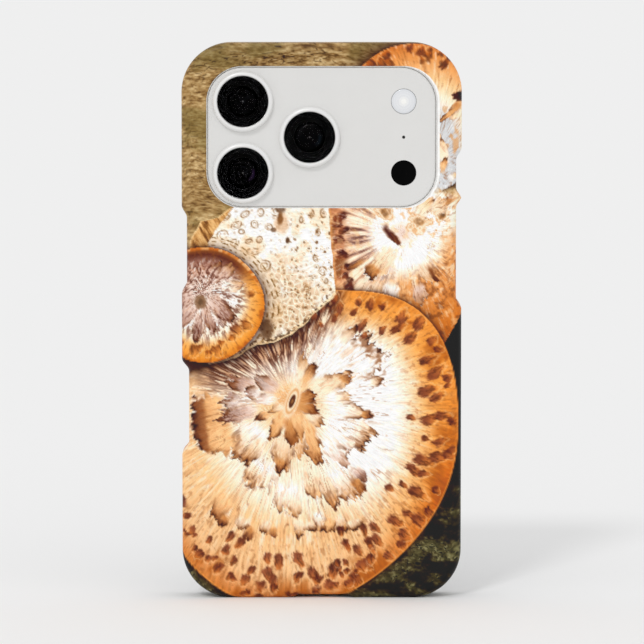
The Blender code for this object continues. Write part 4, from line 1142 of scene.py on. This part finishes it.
def opening_surface(spacing):
    """The camera opening's wall: a rounded edge, then straight in to the cavity, carried round the opening.

    The print runs over the rounded edge except at the right, where nx, the outward normal's part, is large:
    there the edge is bare white, a painted highlight on the side the key light falls on.
    """
    half_width, half_height, radius = OPENING
    x, z, nx, nz = rounded_loop(half_width, half_height, radius, spacing)
    turns = np.linspace(0, np.pi / 2, 6)
    rows = [(2 * OPENING_ROUND, BACK_Y + LAP)]
    rows += [(OPENING_ROUND * (1 - math.sin(t)), BACK_Y + OPENING_ROUND * (1 - math.cos(t))) for t in turns]
    rows += [(-0.1 * MM, BACK_Y + 0.5 * MM), (-SNUG, BACK_Y + 0.75 * MM), (-SNUG, CAVITY_Y)]
    rows.append((4.0 * MM, CAVITY_Y))
    profile = np.array(rows)
    px = x[:, None] + nx[:, None] * profile[None, :, 0]
    pz = OPENING_Z + z[:, None] + nz[:, None] * profile[None, :, 0]
    py = np.broadcast_to(profile[:, 1], px.shape)
    vertices = np.stack([px, py, pz], axis=-1).reshape(-1, 3)
    row = np.arange(len(rows))
    # Painted highlight: the rounded edge is left bare white only at the right, where the key light falls.
    printed = (row < 2) | ((row < 6) & (nx < 0.45)[:, None])
    return vertices, grid_faces(*px.shape, turned=True, wrap=True), printed.reshape(-1)


def rounded_loop(half_width, half_height, radius, spacing):
    """Points and outward normals round a rectangle: each round corner, then the straight run after it."""
    arc = np.linspace(0, np.pi / 2, max(6, int(round(radius * np.pi / 2 / spacing))) + 1)
    xs, zs, nxs, nzs = [], [], [], []
    for corner, (sx, sz) in enumerate(((1, 1), (-1, 1), (-1, -1), (1, -1))):
        run = 2 * ((half_height if corner % 2 else half_width) - radius)
        along = np.arange(spacing, run - spacing / 2, spacing)
        angle = np.append(arc, np.full(len(along), np.pi / 2)) + corner * np.pi / 2
        past = np.append(np.zeros(len(arc)), along)
        nx, nz = np.cos(angle), np.sin(angle)
        xs.append(sx * (half_width - radius) + radius * nx - past * nz)
        zs.append(sz * (half_height - radius) + radius * nz + past * nx)
        nxs.append(nx)
        nzs.append(nz)
    return (np.concatenate(part) for part in (xs, zs, nxs, nzs))


def turned_surface(profile, centre, steps):
    """A turned piece: (radius, height towards -Y above the plateau) carried round an axis along Y."""
    profile = np.asarray(profile, float) * MM
    angle = np.arange(steps) * 2 * np.pi / steps
    x = centre.x + profile[None, :, 0] * np.cos(angle)[:, None]
    z = centre.z + profile[None, :, 0] * np.sin(angle)[:, None]
    y = np.broadcast_to(PLATEAU_Y - profile[:, 1], x.shape)
    return np.stack([x, y, z], axis=-1).reshape(-1, 3), grid_faces(steps, len(profile), wrap=True)


def rounded_profile(points, radius, steps):
    """Rounds the inner corners of a profile: each corner becomes a curve between points a radius away."""
    points = np.asarray(points, float)
    made = [points[:1]]
    for before, corner, after in zip(points, points[1:], points[2:]):
        towards, away = before - corner, after - corner
        reach = min(radius, 0.45 * np.hypot(*towards), 0.45 * np.hypot(*away))
        start = corner + towards / np.hypot(*towards) * reach
        end = corner + away / np.hypot(*away) * reach
        share = np.linspace(0, 1, steps + 1)[:, None]
        made.append((1 - share) ** 2 * start + 2 * share * (1 - share) * corner + share**2 * end)
    made.append(points[-1:])
    return np.concatenate(made)


# ---------------------------------------------------------------- finishes


class Finish:
    """A material with a Principled shader whose plain values sit on its own sockets."""

    def __init__(self, name, colour, roughness, **sockets):
        self.material = bpy.data.materials.new(name)
        self.material.use_nodes = True
        self.tree = self.material.node_tree
        self.shader = self.tree.nodes["Principled BSDF"]
        for key, value in {"Base Color": (*colour, 1.0), "Roughness": roughness, **sockets}.items():
            self.shader.inputs[key].default_value = value
        self.place = self.node("ShaderNodeTexCoord").outputs["Object"]

    def node(self, kind, values=None, links=None, **settings):
        """Adds a node with its plain values, the sockets linked to it, and its settings."""
        made = self.tree.nodes.new(kind)
        for key, value in settings.items():
            setattr(made, key, value)
        for key, value in (values or {}).items():
            made.inputs[key].default_value = value
        for key, socket in (links or {}).items():
            self.tree.links.new(socket, made.inputs[key])
        return made

    def noise(self, scale, detail=3.0, roughness=0.55, vector=None):
        """Noise on the piece's own coordinates, or on another vector."""
        scales = {"Scale": (scale, scale, scale)}
        mapped = self.node("ShaderNodeMapping", scales, {"Vector": vector or self.place})
        made = self.node(
            "ShaderNodeTexNoise",
            {"Scale": 1.0, "Detail": detail, "Roughness": roughness},
            {"Vector": mapped.outputs["Vector"]},
        )
        return made.outputs["Fac"]

    def spread(self, value, low, high, to_low, to_high):
        """Maps a value from one range to another, and holds it at the ends."""
        made = self.node(
            "ShaderNodeMapRange",
            {"From Min": low, "From Max": high, "To Min": to_low, "To Max": to_high},
            {"Value": value},
        )
        return made.outputs["Result"]

    def maths(self, operation, first, second=None):
        """One step of arithmetic on numbers or sockets."""
        made = self.node("ShaderNodeMath", operation=operation)
        for index, value in enumerate((first, second)):
            if isinstance(value, (int, float)):
                made.inputs[index].default_value = value
            elif value is not None:
                self.tree.links.new(value, made.inputs[index])
        return made.outputs["Value"]

    def blend(self, share, first, second, mode="MIX"):
        """Mixes two colours, each a tuple or a socket, by a share."""
        made = self.node("ShaderNodeMix", data_type="RGBA", blend_type=mode)
        for index, value in ((0, share), (6, first), (7, second)):
            if isinstance(value, tuple):
                made.inputs[index].default_value = (*value, 1.0)
            elif isinstance(value, (int, float)):
                made.inputs[index].default_value = value
            else:
                self.tree.links.new(value, made.inputs[index])
        return made.outputs[2]

    def from_axis(self, x, z):
        """Distance from an axis along Y through x and z."""
        shifted = self.node(
            "ShaderNodeMapping", {"Location": (-x, 0.0, -z), "Scale": (1, 0, 1)}, {"Vector": self.place}
        ).outputs["Vector"]
        return self.node("ShaderNodeVectorMath", links={0: shifted}, operation="LENGTH").outputs["Value"]

    def colour(self, socket):
        """Links a socket to the shader's colour."""
        self.tree.links.new(socket, self.shader.inputs["Base Color"])

    def rough(self, socket):
        """Links a socket to the shader's roughness."""
        self.tree.links.new(socket, self.shader.inputs["Roughness"])

    def bump(self, height, distance, strength):
        """Raises the surface by a height's socket, over a distance in metres."""
        made = self.node("ShaderNodeBump", {"Strength": strength, "Distance": distance}, {"Height": height})
        self.tree.links.new(made.outputs["Normal"], self.shader.inputs["Normal"])


def printed_finish():
    """Ink on satin plastic: painted colours, sharpened by fine streaks that run along each cap's growth."""
    finish = Finish("printed_plastic", (0.8, 0.6, 0.4), 0.42, **{"Specular IOR Level": 0.28})
    ink = finish.node("ShaderNodeAttribute", attribute_name="ink").outputs["Color"]
    growth = finish.node("ShaderNodeAttribute", attribute_name="growth").outputs["Vector"]
    streaks = finish.noise(1.0, 4.0, 0.6, vector=growth)
    grain = finish.noise(2600.0, 3.0, 0.6)
    shade = finish.spread(streaks, 0.3, 0.7, 0.86, 1.12)
    fine = finish.spread(grain, 0.3, 0.7, 0.93, 1.06)
    cooler = finish.maths("MULTIPLY", shade, fine)
    tint = finish.node("ShaderNodeCombineColor", links={"Red": shade, "Green": cooler, "Blue": cooler})
    finish.colour(finish.blend(1.0, ink, tint.outputs["Color"], "MULTIPLY"))
    finish.rough(finish.spread(finish.noise(900.0, 2.0), 0.3, 0.7, 0.38, 0.46))
    finish.bump(finish.noise(5200.0, 2.0), 0.00001, 0.25)
    return finish.material


def plain_finish(
    name, colour, roughness, tint=0.03, grain=4000.0, bump=0.000012, metallic=0.0, black=None, **sockets
):
    """A body colour with faint uneven tone, uneven gloss and fine grain, black where its mask is 1."""
    finish = Finish(name, colour, roughness, Metallic=metallic, **sockets)
    slow = finish.noise(120.0, 3.0)
    darker = tuple(max(0.0, part * (1 - tint)) for part in colour)
    lighter = tuple(min(1.0, part * (1 + tint)) for part in colour)
    tone = finish.blend(finish.spread(slow, 0.3, 0.7, 0.0, 1.0), darker, lighter)
    if black:
        tone = finish.blend(black(finish), tone, (0.006, 0.006, 0.007))
    finish.colour(tone)
    fine = finish.noise(grain, 2.0)
    finish.rough(finish.spread(fine, 0.3, 0.7, roughness * 0.92, min(1.0, roughness * 1.08)))
    if bump:
        finish.bump(fine, bump, 0.3)
    return finish.material


def camera_island(finish):
    """1 in the front camera's pocket behind the screen: a bar with round ends, on the screen side only."""
    half_straight, radius, below_top = 7.3 * MM, 3.2 * MM, 7.6 * MM
    apart = finish.node("ShaderNodeSeparateXYZ", links={"Vector": finish.place}).outputs
    beside = finish.maths("SUBTRACT", finish.maths("ABSOLUTE", apart["X"]), half_straight)
    past = finish.maths("MAXIMUM", beside, 0.0)
    rise = finish.maths("SUBTRACT", apart["Z"], PHONE_HIGH.z - below_top)
    squares = finish.maths("ADD", finish.maths("POWER", past, 2.0), finish.maths("MULTIPLY", rise, rise))
    inside = finish.maths("LESS_THAN", squares, radius * radius)
    return finish.maths("MULTIPLY", inside, finish.maths("GREATER_THAN", apart["Y"], 0.0))


def make_finishes():
    """Every finish that more than one piece may share, by name."""
    phone_metal = ((0.74, 0.735, 0.72), 0.42, 0.012, 9000.0, 0.00001)
    return {
        "phone_metal": plain_finish("phone_metal", *phone_metal),
        "frame_metal": plain_finish("frame_metal", *phone_metal, black=camera_island),
        "ring_metal": plain_finish("ring_metal", (0.82, 0.82, 0.81), 0.3, 0.01, 9000.0, 0.000006, 0.15),
        "lens_cover": plain_finish(
            "lens_cover", (1.0, 1.0, 1.0), 0.02, 0.0, 400.0, 0.0, IOR=1.05, **{"Transmission Weight": 1.0}
        ),
        "lens_black": plain_finish(
            "lens_black", (0.003, 0.003, 0.0035), 0.45, 0.2, 3000.0, **{"Specular IOR Level": 0.03}
        ),
        "ranging_glass": plain_finish(
            "ranging_glass", (0.003, 0.003, 0.003), 0.12, 0.2, 400.0, 0.0, IOR=1.04
        ),
        "screen_cover": plain_finish(
            "screen_cover", (1.0, 1.0, 1.0), 0.03, 0.0, 400.0, 0.0, IOR=1.2, **{"Transmission Weight": 1.0}
        ),
        "display": plain_finish(
            "display", (0.006, 0.006, 0.008), 0.25, 0.2, 1500.0, 0.0, **{"Specular IOR Level": 0.02}
        ),
        "back_glass": plain_finish("back_glass", (0.8, 0.8, 0.79), 0.5, 0.01),
        "steel": plain_finish("steel", (0.55, 0.55, 0.57), 0.32, 0.04, 5000.0, 0.00001, 1.0),
        "dark_plastic": plain_finish("dark_plastic", (0.015, 0.015, 0.016), 0.5, 0.2, 3000.0),
        "phosphor": plain_finish("phosphor", (0.9, 0.72, 0.3), 0.6, 0.05, 3000.0),
    }


def lens_look_with_painted_glints(name, centre, tint):
    """A coated lens, near black: a crescent of painted reflection in the tint, and a painted glint, a pale
    point, in its middle.
    """
    black = (0.0015, 0.0015, 0.002)
    finish = Finish(name, black, 0.12, **{"Specular IOR Level": 0.02})
    radius = finish.from_axis(centre.x + 0.5 * MM, centre.z)
    outer = finish.spread(radius, 1.7 * MM, 2.3 * MM, 0.0, 1.0)
    inner = finish.spread(radius, 2.4 * MM, 3.0 * MM, 1.0, 0.0)
    from_side = finish.from_axis(centre.x + 3.0 * MM, centre.z - 0.9 * MM)
    side = finish.spread(from_side, 0.9 * MM, 2.2 * MM, 1.0, 0.0)
    # Painted reflection: a crescent of the tint given, off to one side of the lens.
    painted_reflection = finish.maths("MULTIPLY", finish.maths("MULTIPLY", outer, inner), side)
    colour = finish.blend(painted_reflection, black, tint)
    # Painted glint: a pale point at the lens's middle.
    point = finish.spread(finish.from_axis(centre.x, centre.z), 0.12 * MM, 0.34 * MM, 1.0, 0.0)
    finish.colour(finish.blend(point, colour, (0.07, 0.07, 0.075)))
    return finish.material


def diffuser_finish(centre):
    """A frosted window with fine rings, brighter in its middle over the light source."""
    finish = Finish("flash_window", (0.86, 0.87, 0.9), 0.25, **{"Coat Weight": 0.5, "Coat Roughness": 0.06})
    radius = finish.from_axis(centre.x, centre.z)
    rings = finish.maths("SINE", finish.maths("MULTIPLY", radius, 9000.0))
    rim = finish.spread(radius, 0.0022, 0.0034, 0.0, 1.0)
    inner = finish.spread(radius, 0.0003, 0.0016, 1.0, 0.0)
    colour = finish.blend(rim, (0.80, 0.81, 0.83), (0.73, 0.75, 0.78))
    colour = finish.blend(inner, colour, (0.98, 0.97, 0.93))
    colour = finish.blend(finish.spread(rings, -1.0, 1.0, 0.0, 0.10), colour, (0.45, 0.47, 0.52))
    finish.colour(colour)
    finish.rough(finish.spread(finish.noise(2500.0), 0.3, 0.7, 0.2, 0.32))
    finish.bump(rings, 0.00002, 0.3)
    return finish.material


# ---------------------------------------------------------------- user settings


class PrintedCaseSettings(PropertyGroup):
    print_spacing: FloatProperty(
        name="Print spacing",
        description="Distance between points on the printed back",
        default=0.26 * MM,
        min=0.1 * MM,
        unit="LENGTH",
    )
    wall_spacing: FloatProperty(
        name="Wall spacing",
        description="Distance between points round the case's wall",
        default=0.45 * MM,
        min=0.2 * MM,
        unit="LENGTH",
    )
    plastic_colour: FloatVectorProperty(
        name="Plastic", description="Colour of the bare plastic", default=(0.8, 0.79, 0.77), subtype="COLOR"
    )


class LensSettings(PropertyGroup):
    turn_steps: IntProperty(name="Steps", description="Points round each turned piece", default=96, min=24)
    ring_round: FloatProperty(
        name="Ring rounding", description="Radius of each lens ring's edges", default=0.22 * MM, unit="LENGTH"
    )


class StageSettings(PropertyGroup):
    camera_distance: FloatProperty(
        name="Camera distance", description="From the printed back to the camera", default=1.2, unit="LENGTH"
    )
    camera_height: FloatProperty(
        name="Camera elevation",
        description="Angle of the camera above the horizon",
        default=math.radians(4.6),
        subtype="ANGLE",
    )
    frame_width: FloatProperty(
        name="Frame width",
        description="Width of the view at the printed back",
        default=177.1 * MM,
        unit="LENGTH",
    )
    sky_strength: FloatProperty(
        name="Sky", description="Strength of the soft light from all round", default=0.83
    )
    key_strength: FloatProperty(name="Key", description="Strength of the key light", default=0.61)
    key_turn: FloatProperty(
        name="Key turn",
        description="How far the key light stands to the left",
        default=math.radians(-22),
        subtype="ANGLE",
    )
    key_height: FloatProperty(
        name="Key height",
        description="Angle of the key light above the floor",
        default=math.radians(42),
        subtype="ANGLE",
    )
    floor_colour: FloatVectorProperty(
        name="Floor", description="Colour of the floor", default=(0.9, 0.9, 0.9), subtype="COLOR"
    )


# ---------------------------------------------------------------- operators


def settle(piece, material, replaced=()):
    """Gives a finished piece its material, the phone's body and the nodes that it stands for."""
    piece.data.materials.clear()
    piece.data.materials.append(material)
    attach(piece, MAIN_BODY)
    if replaced:
        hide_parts(*replaced)


# What the satin surface adds to every tone of the ink, and how much stronger the ink is laid for that.
SATIN_SHEEN = 0.012
INK_STRENGTH = 1.09


def ink_mesh(mesh, places, printed=None):
    """Stores the painted colour and the growth coordinates of each point on the mesh."""
    colour = paint(places[:, 0], places[:, 1])
    linear = np.where(colour <= 0.04045, colour / 12.92, ((colour + 0.055) / 1.055) ** 2.4)
    linear = np.clip(INK_STRENGTH * (linear - SATIN_SHEEN), 0.0005, 1)
    if printed is not None:
        plastic = np.array(bpy.context.scene.printed_case.plastic_colour)
        linear = np.where(printed[:, None], linear, plastic)
    ink = mesh.attributes.new("ink", "FLOAT_COLOR", "POINT")
    ink.data.foreach_set("color", np.concatenate([linear, np.ones((len(linear), 1))], axis=1).ravel())
    growth = mesh.attributes.new("growth", "FLOAT_VECTOR", "POINT")
    growth.data.foreach_set("vector", growth_coordinates(places[:, 0], places[:, 1]).ravel())


def cut_bottom_holes(piece):
    """Takes the port's window and the speaker slots out of the wall: each is a bar with round ends."""
    ends = np.array([-5.0 * MM, PHONE_LOW.z + 0.9 * MM])
    points, faces, first = [], [], 0
    for x, width, height in BOTTOM_HOLES:
        px, py, _, _ = rounded_loop(width / 2, height / 2, 0.49 * height, 0.35 * MM)
        count = len(px)
        px, py = np.tile(px + x, 2), np.tile(py + PHONE_MIDDLE_Y, 2)
        points.append(np.stack([px, py, np.repeat(ends, count)], axis=-1))
        ring = np.arange(first, first + count)
        after = np.roll(ring, -1)
        faces += np.stack([ring, after, after + count, ring + count], axis=-1).tolist()
        faces += [ring[::-1].tolist(), (ring + count).tolist()]
        first += 2 * count
    points = np.concatenate(points)
    tool = put_mesh("hole_tool", points, faces)
    close_mesh(tool.data)
    count = len(tool.data.vertices)
    ink_mesh(tool.data, np.zeros((count, 2)), np.zeros(count, bool))
    modifier = piece.modifiers.new("holes", "BOOLEAN")
    modifier.operation, modifier.solver, modifier.object = "DIFFERENCE", "EXACT", tool
    bpy.context.view_layer.update()
    evaluated = piece.evaluated_get(bpy.context.evaluated_depsgraph_get())
    cut = bpy.data.meshes.new_from_object(evaluated)
    piece.modifiers.clear()
    piece.data = cut
    bpy.data.objects.remove(tool)
    cut.set_sharp_from_angle(angle=WALL_SHARP_ANGLE)


class CASEDPHONE_OT_printed_case(Operator):
    """Makes the printed case: its flat back, its wall with windows and slots, and its opening's wall"""

    bl_idname = "casedphone.printed_case"
    bl_label = "Printed case"

    def execute(self, context):
        settings = context.scene.printed_case
        ink = printed_finish()
        for name, patches in back_patches(settings.print_spacing):
            points, faces, first = [], [], 0
            for z, count, left, right in patches:
                made = patch_points(z, count, left, right)
                faces.append(grid_faces(len(z), count, first, turned=True))
                points.append(made)
                first += len(made)
            points, faces = np.concatenate(points), np.concatenate(faces)
            piece = put_mesh(name, points, faces)
            ink_mesh(piece.data, points[:, [0, 2]])
            settle(piece, ink)
        vertices, faces, places, printed = wall_surface(settings.wall_spacing)
        wall = put_mesh("printed_wall", vertices, faces, WALL_SHARP_ANGLE)
        ink_mesh(wall.data, places, printed)
        cut_bottom_holes(wall)
        settle(wall, ink, ["case_shell"])
        vertices, faces, printed = opening_surface(settings.wall_spacing)
        rim = put_mesh("opening_wall", vertices, faces, WALL_SHARP_ANGLE)
        ink_mesh(rim.data, vertices[:, [0, 2]], printed)
        settle(rim, ink)
        return {"FINISHED"}


# Each lens part's cross-section: distance from the axis, and height above the plateau, in mm.
RING_SECTION = (
    (7.4, -1.4), (7.4, -0.2), (7.4, 0.02), (8.0, 0.02), (8.36, 0.02), (8.36, 0.25), (8.3, 0.9), (8.05, 1.45),
    (7.7, 1.7), (7.25, 1.7), (7.08, 1.5), (7.08, 0.75), (6.4, 0.75), (6.4, -1.4), (7.4, -1.4),
)
COVER_SECTION = ((0, 0.85), (6.9, 0.85), (6.98, 0.95), (6.98, 1.38), (6.88, 1.48), (0, 1.48))
BARREL_SECTION = (
    (6.1, 0.77), (6.96, 0.77), (6.96, 0.83), (5.9, 0.83), (5.7, 0.4), (5.5, 0.4), (5.35, 0.1), (4.9, 0.1),
    (4.75, -0.25), (4.4, -0.25), (4.3, -0.6), (4.3, -1.9), (2.6, -2.3), (0, -2.3), (0, -3.6), (6.1, -3.6),
    (6.1, 0.77),
)
ELEMENT_SECTION = (
    (0, -1.7), (3.9, -1.7), (4.1, -1.5), (4.1, -1.0), (3.4, -0.45), (2.8, -0.2), (2.2, -0.02), (1.5, 0.1),
    (0.8, 0.155), (0, 0.17),
)
# The tint of each lens's painted reflection.
LENS_REFLECTION_TINTS = {"upper": (0.003, 0.003, 0.004), "middle": (0.004, 0.008, 0.013), "lower": (0.018, 0.008, 0.03)}


class CASEDPHONE_OT_lenses(Operator):
    """Turns each lens's ring, cover, stepped barrel and front element"""

    bl_idname = "casedphone.lenses"
    bl_label = "Lenses"

    def execute(self, context):
        settings = context.scene.phone_lenses
        finishes = make_finishes_once()
        for name, centre in LENS_CENTRES.items():
            # Each front element gets a near black finish with a painted reflection and a painted glint.
            glinting_lens = lens_look_with_painted_glints(f"coating_{name}", centre, LENS_REFLECTION_TINTS[name])
            parts = {
                "ring": (RING_SECTION, settings.ring_round / MM, 5, finishes["ring_metal"], "ring_metal"),
                "glass": (COVER_SECTION, 0.06, 2, finishes["lens_cover"], "clear_glass"),
                "barrel": (BARREL_SECTION, 0.05, 2, finishes["lens_black"], "black_plastic"),
                "element": (ELEMENT_SECTION, 0.1, 2, glinting_lens, "coated_lens"),
            }
            for part, (section, rounding, bends, material, slot) in parts.items():
                profile = rounded_profile(section, rounding, bends)
                piece = put_mesh(f"{part}_{name}", *turned_surface(profile, centre, settings.turn_steps))
                close_mesh(piece.data)
                settle(piece, material, [f"lens_{part}_{name}"])
        return {"FINISHED"}


class CASEDPHONE_OT_flash_and_sensor(Operator):
    """Turns the flash's domed window and the ranging sensor's flat window"""

    bl_idname = "casedphone.flash_and_sensor"
    bl_label = "Flash and sensor"

    def execute(self, context):
        finishes = make_finishes_once()
        steps = context.scene.phone_lenses.turn_steps
        # Both windows are discs of one size in mm; the flash's face is a shallow parabola.
        dome = [(0, -0.8), (3.4, -0.8), (3.4, -0.1), (3.3, 0.02), (3.1, 0.08)]
        dome += [(r, 0.08 + 0.17 * (1 - (r / 3.1) ** 2)) for r in np.linspace(2.9, 0, 12)]
        flash = put_mesh("flash_window", *turned_surface(dome, FLASH_CENTRE, steps))
        close_mesh(flash.data)
        settle(flash, diffuser_finish(FLASH_CENTRE), ["flash_diffuser"])
        window = rounded_profile([(0, -0.8), (3.4, -0.8), (3.4, -0.02), (3.3, 0.0), (0, 0.0)], 0.06, 3)
        sensor = put_mesh("ranging_glass", *turned_surface(window, RANGING_CENTRE, steps))
        close_mesh(sensor.data)
        settle(sensor, finishes["ranging_glass"], ["ranging_window"])
        return {"FINISHED"}


FINISHES = {}


def make_finishes_once():
    """The shared finishes, made at the first call."""
    if not FINISHES:
        FINISHES.update(make_finishes())
    return FINISHES


BUTTONS = ("power", "capture", "action", "volume_up", "volume_down")
# The finish that each node kept from the solids gets.
KEPT_NODES = {
    "phone_frame": "frame_metal",
    "back_panel": "back_glass",
    "flash_led": "phosphor",
    "ranging_sensor": "dark_plastic",
    "rear_microphone_mesh": "dark_plastic",
    "screen_glass": "screen_cover",
    "display_panel": "display",
    "front_camera": "ranging_glass",
    "front_sensor": "ranging_glass",
    "port_liner": "steel",
    "port_tongue": "dark_plastic",
    "screw_left": "steel",
    "screw_right": "steel",
    **{f"{name}_button": "phone_metal" for name in BUTTONS},
}


class CASEDPHONE_OT_kept_nodes(Operator):
    """Gives each solid that stays in sight its finish"""

    bl_idname = "casedphone.kept_nodes"
    bl_label = "Frame, screen and buttons"

    def execute(self, context):
        finishes = make_finishes_once()
        for name, finish in KEPT_NODES.items():
            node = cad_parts[name]
            node.data.materials.clear()
            node.data.materials.append(finishes[finish])
        return {"FINISHED"}


class CASEDPHONE_OT_stage(Operator):
    """Lays the floor, sets the lights and the world and aims the camera"""

    bl_idname = "casedphone.stage"
    bl_label = "Stage"

    def execute(self, context):
        settings = context.scene.phone_stage
        reach = 60.0
        corners = reach * np.array([(-1, -1, 0), (1, -1, 0), (1, 1, 0), (-1, 1, 0)], float)
        floor = put_mesh("floor", corners, [(0, 1, 2, 3)])
        finish = Finish("floor_paper", tuple(settings.floor_colour), 0.9, **{"Specular IOR Level": 0.0})
        floor.data.materials.append(finish.material)
        world = bpy.data.worlds.new("studio")
        context.scene.world = world
        world.use_nodes = True
        background = world.node_tree.nodes["Background"]
        background.inputs["Color"].default_value = (1.0, 1.0, 1.0, 1.0)
        background.inputs["Strength"].default_value = settings.sky_strength
        lamp = bpy.data.lights.new("key", "SUN")
        lamp.energy, lamp.angle = settings.key_strength, math.radians(10)
        light = bpy.data.objects.new("key", lamp)
        turn, rise = settings.key_turn, settings.key_height
        towards = Vector((-math.sin(turn) * math.cos(rise), math.cos(turn) * math.cos(rise), -math.sin(rise)))
        light.rotation_mode = "QUATERNION"
        light.rotation_quaternion = towards.to_track_quat("-Z", "Y")
        context.scene.collection.objects.link(light)
        context.scene.view_settings.view_transform = "Standard"
        data = bpy.data.cameras.new("camera")
        data.sensor_width = 36.0
        data.lens = data.sensor_width * settings.camera_distance / settings.frame_width
        data.clip_end = 200.0
        camera = bpy.data.objects.new("camera", data)
        target = Vector((0.1 * MM, BACK_Y, 76.5 * MM))
        back = Vector((0.0, -math.cos(settings.camera_height), math.sin(settings.camera_height)))
        camera.location = target + back * settings.camera_distance
        camera.rotation_mode = "QUATERNION"
        camera.rotation_quaternion = (-back).to_track_quat("-Z", "Y")
        context.scene.collection.objects.link(camera)
        context.scene.camera = camera
        return {"FINISHED"}


OPERATORS = (
    CASEDPHONE_OT_printed_case,
    CASEDPHONE_OT_lenses,
    CASEDPHONE_OT_flash_and_sensor,
    CASEDPHONE_OT_kept_nodes,
    CASEDPHONE_OT_stage,
)


class CASEDPHONE_PT_sidebar(Panel):
    """Lists the pieces and their settings"""

    bl_idname = "CASEDPHONE_PT_sidebar"
    bl_label = "Cased phone"
    bl_space_type = "VIEW_3D"
    bl_region_type = "UI"
    bl_category = "Cased Phone"

    def draw(self, context):
        layout = self.layout
        for settings in (context.scene.printed_case, context.scene.phone_lenses, context.scene.phone_stage):
            column = layout.column()
            for name in settings.bl_rna.properties.keys():
                if name not in ("rna_type", "name"):
                    column.prop(settings, name)
        for operator in OPERATORS:
            layout.operator(operator.bl_idname)


CLASSES = (PrintedCaseSettings, LensSettings, StageSettings, *OPERATORS, CASEDPHONE_PT_sidebar)


def register():
    for cls in CLASSES:
        bpy.utils.register_class(cls)
    bpy.types.Scene.printed_case = PointerProperty(type=PrintedCaseSettings)
    bpy.types.Scene.phone_lenses = PointerProperty(type=LensSettings)
    bpy.types.Scene.phone_stage = PointerProperty(type=StageSettings)


def unregister():
    del bpy.types.Scene.phone_stage, bpy.types.Scene.phone_lenses, bpy.types.Scene.printed_case
    for cls in reversed(CLASSES):
        bpy.utils.unregister_class(cls)


def main():
    register()
    bpy.ops.casedphone.printed_case()
    bpy.ops.casedphone.lenses()
    bpy.ops.casedphone.flash_and_sensor()
    bpy.ops.casedphone.kept_nodes()
    bpy.ops.casedphone.stage()


if __name__ == "__main__":
    main()
